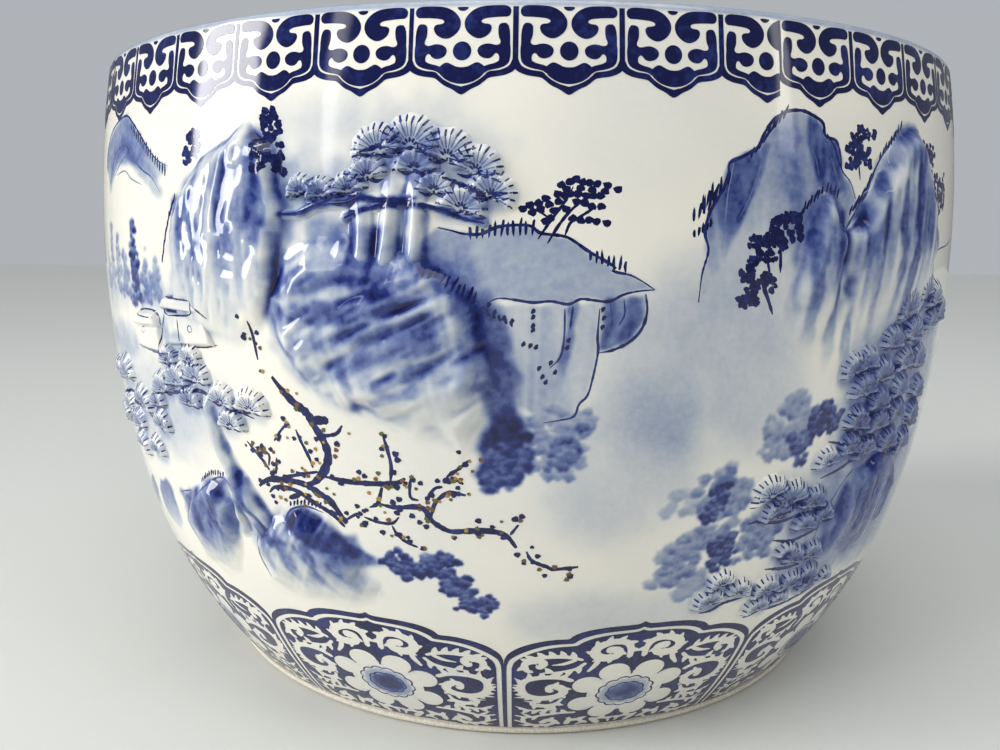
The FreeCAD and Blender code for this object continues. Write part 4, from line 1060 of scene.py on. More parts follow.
for node in sorted(reliefGrids):
    reliefPiece(node)
print("reliefs built")


# Ink: thin shells that lie on the wall and the reliefs, with the surface's own normals.

def newInk():
    return {"turn": [], "climb": [], "rise": [], "tone": [], "quads": [], "triangles": [], "count": 0}


def addInk(ink, turn, climb, rise, tone, quads=(), triangles=()):
    ink["turn"].append(np.asarray(turn, float))
    ink["climb"].append(np.asarray(climb, float))
    ink["rise"].append(np.asarray(rise, float))
    ink["tone"].append(np.broadcast_to(np.asarray(tone, float), np.shape(turn)))
    if len(quads):
        ink["quads"].append(np.asarray(quads, int) + ink["count"])
    if len(triangles):
        ink["triangles"].append(np.asarray(triangles, int) + ink["count"])
    ink["count"] += len(turn)


def inkPiece(ink, name, material="wall", onWall=False):
    turn, climb, rise = (np.concatenate(ink[key]) for key in ("turn", "climb", "rise"))
    lift = np.zeros(turn.shape) if onWall else liftAt(turn, climb)
    points = wallPoint(turn, climb, lift + rise)
    step = 0.5
    scale = np.degrees(step / radiusAt(climb))
    if onWall:
        slopeAcross = slopeAlong = np.zeros(turn.shape)
    else:
        slopeAcross = (liftAt(turn + scale, climb) - liftAt(turn - scale, climb)) / (2 * step)
        slopeAlong = (liftAt(turn, climb + step) - liftAt(turn, climb - step)) / (2 * step)
    angle = np.radians(turn)
    tilt = tiltAt(climb)
    outward = np.stack([np.sin(angle) * np.cos(tilt), -np.cos(angle) * np.cos(tilt), np.sin(tilt)], -1)
    across = np.stack([np.cos(angle), np.sin(angle), 0 * angle], -1)
    along = np.stack([-np.sin(angle) * np.sin(tilt), np.cos(angle) * np.sin(tilt), np.cos(tilt)], -1)
    normals = outward - across * slopeAcross[:, None] - along * slopeAlong[:, None]
    normals /= np.linalg.norm(normals, axis=1)[:, None]
    quads = np.vstack(ink["quads"]) if ink["quads"] else []
    triangles = np.vstack(ink["triangles"]) if ink["triangles"] else []
    piece = buildMesh(name, points, quads, triangles, np.concatenate(ink["tone"]), normals, material)
    print(name, len(points), "points")
    return piece


def stroke(ink, path, width, tone=0.92, ends=(0.35, 0.25), step=1.3, wander=0.16, shift=0.0, flip=False):
    # a brushed line: swells along its run and comes to a soft point at each end
    path = smoothPath(placed(path, shift, flip), step)
    count = len(path)
    mm = flat(path)
    along = np.gradient(mm, axis=0)
    along /= np.hypot(along[:, 0], along[:, 1])[:, None] + 1e-9
    share = np.linspace(0, 1, count)
    swell = np.minimum(1, np.minimum(ends[0] + (1 - ends[0]) * share * 5, ends[1] + (1 - ends[1]) * (1 - share) * 5))
    half = 0.5 * width * swell * (1 + wander * (2 * smoothNoise(path[:, 0] * 7, path[:, 1], 900, 4.0, 55) - 1) * 2)
    perDegree = np.radians(radiusAt(path[:, 1]))
    side = np.stack([-along[:, 1] / perDegree, along[:, 0]], -1) * half[:, None]
    left, right = path + side, path - side
    turn = np.stack([left[:, 0], path[:, 0], right[:, 0], path[:, 0]], 1).ravel()
    climb = np.stack([left[:, 1], path[:, 1], right[:, 1], path[:, 1]], 1).ravel()
    rise = np.tile([0.05, 0.15, 0.05, -0.2], count)
    a = np.arange(count - 1)[:, None] * 4
    rings = [np.hstack([a + k, a + k + 4, a + (k + 1) % 4 + 4, a + (k + 1) % 4]) for k in range(4)]
    last = (count - 1) * 4
    quads = np.vstack([r[:, ::-1] for r in rings] + [[[0, 1, 2, 3]], [[last + 3, last + 2, last + 1, last]]])
    tones = np.repeat(tone * (0.93 + 0.14 * (smoothNoise(path[:, 0] * 3, path[:, 1], 400, 5.0, 56) - 0.3)), 4)
    addInk(ink, turn, climb, rise, np.clip(tones, 0, 1), quads)


def dab(ink, turn, climb, length, width, lean=0.0, tone=0.9, sides=9, melt=0.0, over=0.0):
    # one touch of the brush, longer than wide; lean is in degrees from straight up
    angle = np.linspace(0, 2 * math.pi, sides, endpoint=False)
    ragged = 1 + 0.13 * np.sin(3 * angle + turn * 7) + 0.08 * np.sin(5 * angle + climb)
    x = 0.5 * width * np.cos(angle) * ragged
    y = 0.5 * length * np.sin(angle) * ragged
    tip = math.radians(lean)
    perDegree = math.radians(float(radiusAt(climb)))
    turns = turn + (x * math.cos(tip) + y * math.sin(tip)) / perDegree
    climbs = climb - x * math.sin(tip) + y * math.cos(tip)
    k = np.arange(sides)
    after = (k + 1) % sides
    top = np.stack([np.full(sides, sides), k, after], -1)
    below = np.stack([np.full(sides, sides + 1), after, k], -1)
    shade = np.clip(tone * np.append(1 + melt * (y / (0.5 * length)), [1, 1]), 0, 1)
    addInk(ink, np.append(turns, [turn, turn]), np.append(climbs, [climb, climb]),
           np.concatenate([np.full(sides, 0.05 + over), [0.16 + over, -0.2]]), shade, (), np.vstack([top, below]))


def ticks(ink, path, length, gap, lean, width=0.9, tone=0.88, shift=0.0, flip=False):
    # short hatching touches that stand on a line
    for n, (t, s) in enumerate(smoothPath(path, gap)):
        tall = length * (0.85 + 0.4 * ((n * 37 % 11) / 11))
        tilted = lean + 14 * ((n * 53 % 7) / 7 - 0.5)
        tip = math.radians(tilted)
        t += math.sin(tip) * 0.42 * tall / math.radians(float(radiusAt(s)))
        s += math.cos(tip) * 0.42 * tall
        dab(ink, (-t if flip else t) + shift, s, tall, width * 1.25, -tilted if flip else tilted, tone, 8)


def leafMass(ink, ring, count, size, tone, seed, shift=0.0, flip=False):
    # a clump of foliage touched in with many round dabs
    spots, random = scattered(ring, count, seed, 4.0)
    for t, s in placed(spots, shift, flip):
        wide = size * (0.75 + 0.5 * random.random())
        dab(ink, t, s, wide, wide * 1.15, 60 * random.random(), tone * (0.88 + 0.16 * random.random()), 10, 0.0,
            0.05 * random.random())


scenery = newInk()
needles = newInk()

for shift, flip in ((0.0, False), (100.0, True), (228.0, True)):
    for settings in ((farPeak, 1.25, 0.9),
                     ([(21.8, 266), (21, 257), (20, 247), (19, 240)], 0.6, 0.6),
                     ([(27, 276), (26.8, 268), (27.5, 262), (28, 255), (29.5, 250)], 0.7, 0.66),
                     ([(28.3, 270), (29.5, 262), (30.5, 253)], 0.6, 0.6),
                     ([(18.5, 260), (18, 250), (17.8, 240), (17.6, 230)], 0.55, 0.5)):
        stroke(scenery, *settings, shift=shift, flip=flip)
    for settings in (([(14.9, 234.5), (15.7, 236), (16.4, 238)], 3.4, 2.3, 6, 1.0, 0.9),
                     ([(14.8, 240), (15.6, 242), (16.6, 245)], 6.0, 2.2, 8, 1.0, 0.92),
                     ([(15.6, 244), (16.6, 247.5), (18, 252)], 6.4, 2.3, 10, 1.0, 0.92),
                     ([(20.2, 262), (21.2, 266), (22.2, 271), (23.6, 276)], 5.2, 2.4, 26, 0.9, 0.9),
                     ([(28.6, 271), (29.8, 267), (30.6, 260)], 3.4, 3.0, -30, 0.8, 0.8)):
        ticks(scenery, *settings, shift, flip)
    for ring, count in (([(22, 232), (22.4, 241), (24, 244.5), (26, 243), (26, 234), (24, 231)], 46),
                        ([(20.4, 225), (20.6, 233), (22.6, 236.5), (24.2, 234), (24, 226)], 38),
                        ([(19.2, 219), (19.4, 223.5), (20.8, 224), (20.8, 219)], 12),
                        ([(20.4, 214), (20.6, 221), (23, 222.5), (23.6, 216)], 26),
                        ([(19.2, 209), (19.2, 214), (21.4, 215), (21.6, 210)], 16)):
        leafMass(scenery, ring, int(1.6 * count), 2.3, 0.94, 3 + count, shift, flip)
    for settings in (([(23.4, 236), (23.7, 229), (23.8, 222)], 1.3, 0.9),
                     ([(21.8, 219), (22.6, 213), (23.3, 207)], 1.6, 0.92),
                     ([(22, 229), (22.6, 222), (22.2, 215)], 1.1, 0.9)):
        stroke(scenery, *settings, shift=shift, flip=flip)

# Plateau, its hatching and the tree of dots above it.
for settings in ((plateauTop, 1.15, 0.9),
                 (plateauLip, 1.0, 0.88),
                 (plateauSide, 1.2, 0.9),
                 (plateauFall, 0.9, 0.82),
                 ([(8.8, 213), (8.9, 208), (8.4, 204)], 0.7, 0.8),
                 ([(4.4, 211), (4.2, 203)], 0.9, 0.85),
                 ([(3.7, 210), (3.7, 200), (3.4, 193), (2.5, 189)], 0.8, 0.82),
                 ([(7.6, 212), (7.8, 205), (7.4, 200)], 0.6, 0.7)):
    stroke(scenery, *settings)
for settings in (([(-4.4, 233.5), (-2, 234.5), (0.8, 235)], 5.4, 2.1, 4, 0.95),
                 ([(5.8, 226.5), (7.4, 224.4), (8.8, 222.6)], 4.6, 2.2, 2, 0.95),
                 ([(-8.4, 220), (-6.6, 217), (-4.2, 211)], 5.2, 2.4, 22, 1.0),
                 ([(-3.8, 209), (-2.2, 206), (-0.8, 203.6)], 2.6, 2.4, -14, 1.0)):
    ticks(scenery, *settings)
for t, s in ((-2.8, 211), (-2.3, 208.5), (-1.5, 206.5), (-0.8, 205.5), (1, 209), (1, 207), (1, 204), (1, 202.5),
             (0.2, 197.5), (0.8, 197), (1.3, 196.5), (1.6, 189),
             (1.9, 186), (2.2, 184), (-3.4, 209.6), (2.6, 191), (3.0, 187.6), (7.0, 209.8), (7.1, 206.8),
             (7.0, 203.6), (4.1, 199), (4.0, 196.4)):
    dab(scenery, t, s, 2.2, 1.5, 30, 0.92)
dots = [(3.2, 251.5), (3.9, 252.5), (4.4, 253.5), (5, 252.5), (5.6, 252.3), (6.2, 252), (7.1, 251.5), (8, 250.2),
        (2.9, 248.5), (3.4, 248), (4, 248.5), (4.6, 248.5), (5.3, 248), (5.9, 248), (6.5, 248), (1.9, 247),
        (1.3, 245.5), (0.6, 244.8), (0, 243.5), (0.8, 242.3), (1.5, 243.5), (2.2, 245), (3, 246), (4.5, 246),
        (5.2, 245.5), (5.8, 244.5), (6.6, 244.5), (4.2, 240.5), (4.9, 239.8), (5.6, 240), (6.2, 239.5), (7.1, 239),
        (1.9, 239.5), (2.3, 240.5), (3.6, 250.2), (4.8, 250.4), (5.8, 250), (6.9, 249.6), (2.6, 243), (3.6, 243.6)]
for n, (t, s) in enumerate(dots):
    dab(scenery, t, s, 2.6, 3.3, 12 * math.sin(n * 2.3), 0.97)
for settings in (([(1.3, 233.5), (2.4, 240), (3.5, 246), (4.2, 251)], 1.1, 0.95),
                 ([(2.1, 232), (3, 238), (4, 243), (5.4, 248)], 1.1, 0.95),
                 ([(3.5, 234), (4, 239), (4.8, 241), (6.2, 244.5)], 1.0, 0.95),
                 ([(2.4, 240), (1.2, 243), (0.2, 244)], 0.8, 0.95)):
    stroke(scenery, *settings)

# Main peak, spur and their trees.
stroke(scenery, mainPeak[:6], 1.0, 0.74)
for settings in (([(36.4, 264), (38.2, 270), (40.2, 276)], 4.2, 2.4, 24, 0.9, 0.86),
                 ([(32.0, 243), (33.4, 248), (35, 256)], 5.4, 2.2, 30, 0.95, 0.92),
                 ([(25.4, 240), (26.8, 246), (28.6, 250), (30.2, 249)], 4.6, 2.2, 18, 0.9, 0.9)):
    ticks(scenery, *settings)
for ring, count in (([(31.2, 259), (31.2, 270), (33, 275.5), (35.4, 274), (35.2, 261)], 70),
                    ([(44.6, 263), (45, 274), (48.4, 275), (48.8, 264)], 60),
                    ([(47.6, 244), (48, 262), (53, 262), (53, 246)], 110),
                    ([(-24.6, 254), (-24.4, 278), (-22.4, 279), (-21.8, 256)], 90),
                    ([(-35, 260), (-34.8, 271), (-32.4, 273), (-32.2, 262)], 44)):
    leafMass(scenery, ring, int(1.1 * count), 2.3, 0.93, 60 + count)
for settings in (([(33.4, 256), (33.2, 262), (33.6, 270)], 1.0, 0.88),
                 ([(46.4, 262), (46.6, 268), (46.8, 273)], 1.0, 0.88),
                 ([(49.2, 240), (50.2, 250), (50, 260)], 1.0, 0.88),
                 ([(50, 228), (53, 230), (56, 231), (60, 234)], 0.8, 0.6)):
    stroke(scenery, *settings)
ticks(scenery, [(-39.2, 222), (-38.2, 234), (-36.8, 245)], 4.6, 2.6, 20, 0.9, 0.84)

for shift, flip in ((0.0, False), (194.0, False), (82.0, True)):
    for settings in ((farMountain, 0.9, 0.8),
                     (nearRidge, 0.7, 0.66),
                     (lowRidge, 0.7, 0.6),
                     ([(-51, 258), (-48, 259.5), (-46, 256), (-43, 253)], 0.6, 0.55)):
        stroke(scenery, *settings, shift=shift, flip=flip)
    ticks(scenery, [(-46.2, 276), (-43, 267.5), (-40, 260), (-38.2, 256)], 4.6, 2.3, 4, 0.9, 0.88, shift, flip)

# Houses in line.
for path in ([(-44.7, 201), (-44.3, 199.4), (-41, 199)], [(-39.5, 206), (-39, 203), (-38, 201)],
             [(-38, 201), (-34, 202.5), (-33.5, 208)], [(-38.5, 208.5), (-33.5, 208)],
             [(-41, 186), (-40.4, 194), (-39.4, 203)], [(-46.8, 187), (-44, 185.4), (-40, 184.5), (-36, 187)],
             [(-34.5, 189), (-32.6, 189.6), (-31, 191)],
             [(-33.6, 207), (-31.4, 201.4)], [(-36.4, 190), (-36.4, 200)],
             [(-46.6, 194.6), (-45.2, 201), (-41.4, 201.4), (-40.4, 196)], [(-45.8, 186), (-45.9, 194)]):
    stroke(scenery, path, 0.75, 0.85)
stroke(scenery, [(-46.6, 185.6), (-42, 184), (-38.4, 185)], 1.8, 0.7)
for t, s in ((-44.2, 193), (-34.4, 196.6)):
    angle = np.linspace(0, 2 * math.pi, 12)
    stroke(scenery, np.stack([t + 0.36 * np.cos(angle), s + 1.4 * np.sin(angle)], -1), 0.5, 0.8)

# Rocks: shore lines and short cleft strokes.
for path in ([(-44, 118), (-41.4, 121), (-38, 124), (-35, 132), (-33, 133), (-32, 124)],
             [(-25, 120), (-24, 126), (-22, 128.6), (-20, 127)],
             [(-29.4, 112), (-30, 100), (-29, 90)], [(34.6, 108), (35.4, 122), (38.4, 138), (43, 146)],
             [(45.4, 134), (47, 144), (50.4, 139)],
             [(165, 104), (167, 116), (171, 128), (178, 132), (186, 125)]):
    stroke(scenery, path, 0.9, 0.7)
ticks(scenery, [(-37.4, 129), (-35.4, 133.4), (-33.4, 134)], 3.0, 1.8, 20, 0.9, 0.8)
ticks(scenery, [(-24, 127.6), (-22, 129.4), (-20.4, 128.6)], 3.0, 1.8, 20, 0.9, 0.9)

# Needles: fine fans over every relief pad, a dark knot at each hub, boughs below.
for fans in padSets:
    for number, (t, s, size, lean) in enumerate(fans):
        hub = s - 0.42 * size
        perDegree = math.radians(float(radiusAt(s)))
        rays = int(1.45 * size)
        for k in range(rays):
            phi = math.radians(lean - 92 + 184 * k / (rays - 1))
            far = size * (1.14 + 0.07 * math.sin(k * 2.1 + t))
            ray = [(t + math.sin(phi) * far * part / perDegree, hub + math.cos(phi) * far * part) for part in (0.3,
                0.62, 0.95)]
            stroke(needles, ray[:2], 0.5, 0.6, (0.9, 0.6), 1.8)
            stroke(needles, ray[1:], 0.78, 0.84 + 0.08 * math.sin(k + number), (0.5, 0.8), 1.6)
        for k in range(5):
            phi = math.radians(lean - 64 + 128 * k / 4)
            dab(needles, t + math.sin(phi) * size * 0.22 / perDegree, hub + math.cos(phi) * size * 0.22, 1.9, 0.95,
                math.degrees(phi), 0.82, 7)
        wave = [(t - 0.75 * size / perDegree, hub - 0.5), (t - 0.35 * size / perDegree, hub - 1.5), (t, hub - 0.6),
                (t + 0.4 * size / perDegree, hub - 1.6),
                (t + 0.8 * size / perDegree, hub - 0.8)]
        stroke(needles, wave, 1.3, 0.85, (0.3, 0.3), 1.2)
for path in boughs.values():
    stroke(needles, path, 1.7, 0.88)
for path in ([(-7, 254), (-5, 251), (-3.5, 248), (-0.7, 248.5)], [(-14, 262), (-12, 264.5), (-10.5, 267)],
             [(24, 123), (26, 124), (28, 126), (31, 129), (33, 130)],
             [(20.5, 81.5), (22, 82), (23.5, 85), (26, 86)], [(27.3, 73.5), (29, 75), (30.5, 78)],
             [(-43, 166), (-39, 168), (-35, 171), (-31, 167), (-27, 163)],
             [(-57, 158), (-52, 160), (-47, 152), (-44, 146)], [(36, 176), (40, 178), (44, 184), (48, 190)],
             [(33, 138), (37, 142), (41, 152), (45, 158)],
             [(43, 200), (46, 194), (50, 195), (53, 199)], [(35, 165), (38, 163), (41, 165), (44, 170)],
             [(33, 154), (36, 152), (40, 153), (43, 157)],
             [(25, 124), (28, 121.5), (32, 124)], [(28, 113), (31, 111), (35, 114)], [(28, 99), (32, 97), (36, 100)],
             [(30, 75), (34, 76), (39, 80)]):
    stroke(needles, path, 1.6, 0.88)
print("scenery drawn", scenery["count"], needles["count"])


# The flowering branch.
plum = newInk()
touches = {"ochre": newInk(), "olive": newInk(), "russet": newInk()}
for shift, flip in ((0.0, False), (150.0, True), (262.0, False)):
    random = np.random.default_rng(int(shift) + 5)
    for width, path in branches:
        stroke(plum, path, width * 1.3, 0.95, (0.4, 0.55), 1.3, 0.14, shift, flip)
        line = smoothPath(placed(path, shift, flip), 2.9)
        if width > 2.4:
            line = line[: len(line) // 2]
        for t, s in line:
            if random.random() > (0.5 if width > 1.5 else 0.95):
                continue
            turn = t + random.normal() * 0.5
            climb = s + random.normal() * 2.2
            for _ in range(1 + int(random.random() * 2)):
                kind = ("ochre", "olive", "bud", "bud", "russet")[int(random.random() * 5)]
                size = (2.1 if kind == "bud" else 1.7) * (0.75 + 0.5 * random.random())
                ink = plum if kind == "bud" else touches[kind]
                dab(ink, turn + 0.45 * random.normal(), climb + 1.5 * random.normal(), size, size * 1.1, 0, 0.92, 9,
                    0.0, 0.1)
print("branch drawn", plum["count"])


# Rim border: dark shapes between joints, cut short where the printed band was joined.

def mirrored(ring):
    return [(-x, s) for x, s in reversed(ring)]


def halfRound(half):
    return list(half) + mirrored([p for p in half if p[0] > 1e-6])


comma = [(4.02, 309.9), (2.6, 309.9), (1.6, 309.6), (0.9, 308.4), (0.45, 306.6), (0.25, 304.8), (0.35, 302.6),
         (0.75, 300.8), (1.35, 299.6), (1.95, 300.3), (2.35, 301.8), (2.4, 303.7), (1.75, 303.9), (1.5, 304.6),
         (1.5, 305.6), (1.85, 306.4), (2.5, 306.7), (3.3, 306.9), (4.02, 306.9)]
curl = [(3.98, 304.1), (3.2, 304.1), (3.15, 302), (3.2, 300), (3.4, 298.4), (3.3, 297.2), (2.9, 296.7), (2.3, 297.4),
        (1.8, 297.1), (1.45, 296.2), (1.4, 295), (1.6, 293.7), (2.1, 293.0), (2.5, 293.4), (2.7, 294.6),
        (2.95, 295.0), (3.22, 294.2), (3.3, 292.5), (3.1, 291.0), (2.9, 290.2), (3.5, 290.5), (3.88, 291.6),
        (3.98, 293.4)]
chin = [(0, 289.5), (0.5, 289.7), (0.9, 290.5), (1.3, 291.3), (1.65, 290.6), (1.95, 289.4), (1.85, 288.2),
        (1.5, 286.8), (0.9, 285.4), (0, 284.7)]
bandOut = [(4.54, 309.9), (4.54, 300), (4.54, 289.2), (4.2, 288.2), (3.5, 287.2), (2.4, 286.5), (2.0, 285.5),
           (1.5, 284.0), (0.8, 282.7), (0.3, 281.4), (0, 280.9)]
bandIn = [(4.3, 309.9), (4.3, 300), (4.3, 292.6), (4.0, 290.4), (3.3, 289.1), (2.3, 288.5), (2.0, 287.5),
          (1.5, 285.9), (0.8, 284.5), (0, 283.6)]
bank = [(4.1, 298), (4.1, 292.6), (3.84, 290.7), (3.2, 289.6), (2.25, 289.0), (1.85, 287.8), (1.5, 288.8),
        (1.95, 290.4), (2.9, 291.2), (3.4, 292.6), (3.6, 295), (3.7, 298)]
dotRing = [(0.78 * math.cos(a), 295.3 + 3.1 * math.sin(a)) for a in np.linspace(0, 2 * math.pi, 14, endpoint=False)]
capRing = [(0.5 * math.cos(a), 309.9 + 1.4 * math.sin(a)) for a in np.linspace(math.pi, 2 * math.pi, 8)]


rimScale = [3.6, 1.0]


def swollen(ring, amount):
    # the ring grown outward by an amount in mm
    mm = np.asarray(ring, float) * rimScale
    after, before = np.roll(mm, -1, 0), np.roll(mm, 1, 0)
    along = after - before
    turned = np.sum(mm[:, 0] * after[:, 1] - after[:, 0] * mm[:, 1])
    out = np.stack([along[:, 1], -along[:, 0]], -1) * math.copysign(1.0, turned)
    return (mm + amount * out / (np.hypot(out[:, 0], out[:, 1])[:, None] + 1e-9)) / rimScale


def clipRing(ring, limit):
    # keeps the part of a ring on the left of a line
    kept = []
    for (x0, s0), (x1, s1) in zip(ring, np.roll(ring, -1, 0)):
        if x0 <= limit:
            kept.append((x0, s0))
        if (x0 <= limit) != (x1 <= limit):
            share = (limit - x0) / (x1 - x0)
            kept.append((limit, s0 + share * (s1 - s0)))
    return np.array(kept)


def fillRings(rings, keep=None):
    # triangles of the flat area inside one ring, or of the part that keep says
    points, edges = [], []
    for ring in rings:
        first = len(points)
        points += [Vector((x * rimScale[0], s)) for x, s in ring]
        edges += [(first + k, first + (k + 1) % len(ring)) for k in range(len(ring))]
    result = delaunay_2d_cdt(points, edges, [], 0, 1e-4)
    flatPoints = np.array([(p.x / rimScale[0], p.y) for p in result[0]])
    triangles = np.array([f for f in result[2] if len(f) == 3])
    middle = flatPoints[triangles].mean(1)
    if keep is None:
        inside = edgeDistance(middle[:, 0] * rimScale[0], middle[:, 1], np.array(rings[0]) * rimScale) > 0
    else:
        inside = keep(middle[:, 0], middle[:, 1])
    triangles = triangles[inside]
    corner = flatPoints[triangles]
    first, second = corner[:, 1] - corner[:, 0], corner[:, 2] - corner[:, 0]
    area2 = first[:, 0] * second[:, 1] - first[:, 1] * second[:, 0]
    triangles = triangles[np.abs(area2) > 1e-7]
    area2 = area2[np.abs(area2) > 1e-7]
    triangles = np.where(area2[:, None] > 0, triangles, triangles[:, ::-1])
    used, triangles = np.unique(triangles, return_inverse=True)
    return flatPoints[used], triangles.reshape(-1, 3)


def addShell(ink, points, triangles, tone, middle=0.0, squeeze=1.0, thick=0.1):
    count = len(points)
    edges = np.vstack([triangles[:, [0, 1]], triangles[:, [1, 2]], triangles[:, [2, 0]]])
    key = edges[:, 0] * count + edges[:, 1]
    back = edges[:, 1] * count + edges[:, 0]
    rim = edges[~np.isin(key, back)]
    sides = np.stack([rim[:, 1], rim[:, 0], rim[:, 0] + count, rim[:, 1] + count], -1)
    turn = np.tile(points[:, 0] * squeeze + middle, 2)
    climb = np.tile(points[:, 1], 2)
    rise = np.repeat([thick, -0.25], count)
    addInk(ink, turn, climb, rise, np.tile(tone, 2), sides, np.vstack([triangles, triangles[:, ::-1] + count]))


def inkTone(turn, climb, deep=0.97):
    return np.clip(deep * (0.95 + 0.16 * (smoothNoise(turn, climb, 420, 4.0, 77) - 0.4)), 0, 1)


panelRings = [swollen(smoothRing(shape), grow) for shape, grow in
              ((comma, 0.42), (mirrored(comma), 0.42), (curl, 0.36), (mirrored(curl), 0.36), (halfRound(chin), 0.4),
               (dotRing, 0.1), (capRing, 0.0), (bank, 0.1),
               (mirrored(bank), 0.1))]
outline = smoothPath([(x, s) for x, s in bandOut[2:]], 0.7)
inline = smoothPath([(x, s) for x, s in bandIn[2:]], 0.7)
outHalf = [(4.54, 309.9), (4.54, 304), (4.54, 297)] + [tuple(p) for p in outline]
inHalf = [(4.3, 309.9), (4.3, 304), (4.3, 298)] + [tuple(p) for p in inline]
band = outHalf + [(-x, s) for x, s in reversed(outHalf[:-1])] + [(-x, s) for x,
    s in inHalf[:-1]] + [tuple(p) for p in reversed(inHalf)]
panelRings.append(np.array(band))
rimInk = newInk()
whole = [fillRings([ring]) for ring in panelRings]
cutLimit = 1.4
short = [fillRings([clipRing(ring, cutLimit)]) for ring in panelRings if ring[:, 0].min() < cutLimit - 0.3]
rimPitch = 9.08
panelMiddles = [3.73 + rimPitch * k for k in (-1, 0, 1)] + [27.86 + rimPitch * k for k in range(36)]
for middle in panelMiddles:
    for points, triangles in whole:
        addShell(rimInk, points, triangles, inkTone(points[:, 0] + middle, points[:, 1]), middle)
for points, triangles in short:
    addShell(rimInk, points, triangles, inkTone(points[:, 0] + 21.89, points[:, 1]), 21.89)
print("rim border", len(panelMiddles), "panels", rimInk["count"])


# Lower border panel.

lowScale = [3.4, 1.0]


def ribbonRing(path, width, tips=(1.0, 0.3)):
    # outline of a brushed scroll, round at its head
    path = np.asarray(path, float)
    scale = np.array(lowScale)
    line = path * scale
    if len(line) > 2:
        ends = np.vstack([2 * line[0] - line[1], line, 2 * line[-1] - line[-2]])
        t = np.linspace(0, 1, 5)[:-1, None]
        parts = [0.5 * (2 * b + (c - a) * t + (2 * a - 5 * b + 4 * c - d) * t ** 2 + (3 * b - a - 3 * c + d) * t ** 3)
                 for a, b, c, d in zip(ends[:-3], ends[1:-2], ends[2:-1], ends[3:])]
        line = np.vstack(parts + [line[-1:]])
    else:
        line = line[0] + (line[1] - line[0]) * np.linspace(0, 1, 5)[:, None]
    along = np.gradient(line, axis=0)
    along /= np.hypot(along[:, 0], along[:, 1])[:, None]
    share = np.linspace(0, 1, len(line))
    half = 0.5 * width * (tips[0] + (tips[1] - tips[0]) * ease(share)) + 0.12 * width * np.sin(share * math.pi)
    side = np.stack([-along[:, 1], along[:, 0]], -1) * half[:, None]
    angle = np.linspace(math.pi / 2, 3 * math.pi / 2, 6)[1:-1]
    heading = math.atan2(along[0][1], along[0][0])
    head = line[0] + half[0] * np.stack([np.cos(heading + angle), np.sin(heading + angle)], -1)
    tail = line[-1] + along[-1] * half[-1]
    ring = np.vstack([line - side, tail[None], (line + side)[::-1], head])
    return ring / scale


scrolls = [
    (2.4, (1.5, 0.9), [(3.3, 65.6), (2.5, 64.8), (2.6, 61.8), (4.0, 60.8), (5.1, 63.4), (4.9, 67.6), (3.3, 70.4),
                       (1.7, 69.6), (1.0, 66.0), (0.9, 60.6)]),
    (2.0, (0.9, 0.6), [(4.6, 59.6), (4.9, 56.4), (5.6, 52.6)]),
    (2.3, (1.4, 0.7), [(11.4, 56.6), (11.1, 58.9), (12.2, 60.2), (13.2, 58.2), (13.0, 54.2), (12.4, 53.0)]),
    (2.2, (0.6, 0.7), [(6.6, 60.4), (7.6, 61.8), (9, 62.8), (10.8, 62.6), (12.4, 61.2), (13.2, 58.4)]),
    (1.9, (0.8, 0.3), [(7.4, 60.2), (8.6, 58.2), (10, 57.4)]),
    (1.8, (0.8, 0.3), [(6.2, 57.8), (7.2, 54.4), (9, 52.8), (11.4, 52)]),
    (2.5, (1.3, 0.8), [(10.0, 39.6), (9.9, 42.0), (8.7, 41.4), (8.2, 37.6), (9.2, 34.2), (11.4, 33.2), (13.1, 36.2),
                       (13.6, 42), (13.0, 46.8), (11.2, 49.0), (9, 48.8), (7.4, 46.4)]),
    (1.8, (1.0, 0.2), [(12.4, 48), (12.8, 52.4)]), (1.8, (1.0, 0.2), [(13.4, 45), (14.4, 48.6)]),
    (1.8, (1.0, 0.2), [(13.5, 40), (14.6, 38.8)]), (1.8, (1.0, 0.2), [(12.6, 34.6), (14.4, 33.4)]),
    (1.6, (1.0, 0.2), [(9.6, 48.8), (9.2, 52)]), (1.7, (1.0, 0.2), [(13.5, 43), (14.6, 43.4)]),
    (2.1, (1.3, 0.6), [(11.6, 30.6), (11.9, 28.2), (10.4, 26.6), (8.9, 28.6), (8.3, 32.4)]),
    (2.1, (0.8, 0.4), [(9.2, 27.8), (9.5, 23.8), (11.6, 22.4), (13.8, 23.8)]),
    (1.6, (1.0, 0.2), [(12.8, 22.8), (14.3, 26.4)]), (1.6, (1.0, 0.2), [(11.2, 30), (13.2, 30.6)]),
    (2.1, (0.7, 0.5), [(6.2, 19.8), (8.4, 19.4), (10.6, 17.6), (12.4, 15.8), (14.2, 17.4)]),
    (1.6, (1.0, 0.2), [(12.2, 16.4), (13.6, 20.4)]),
    (2.2, (1.3, 0.5), [(10.4, 10.4), (9.6, 12.6), (8.6, 10.6), (9.4, 7.6), (11.4, 7.2), (12.8, 9.8), (14.3, 12.6)]),
    (1.6, (1.0, 0.2), [(12, 8), (13.9, 7.2)]),
    (2.1, (1.2, 0.5), [(6.8, 8.6), (6.6, 11.4), (5.4, 12.2), (4.7, 9.4), (5.4, 6.8)]),
    (1.5, (1.0, 0.2), [(6, 12), (7.2, 14.8)]), (1.7, (1.0, 0.3), [(5, 12), (4.2, 15.2)]),
    (2.1, (1.2, 0.5), [(2.2, 7.4), (2.8, 10), (1.9, 12), (0.8, 10.6), (0.5, 7.4)]),
    (1.6, (1.0, 0.2), [(2.6, 11), (3.6, 13.4)]),
]
flowerDiscs = [(0.0, 35.0, 17.5, 16.0)]
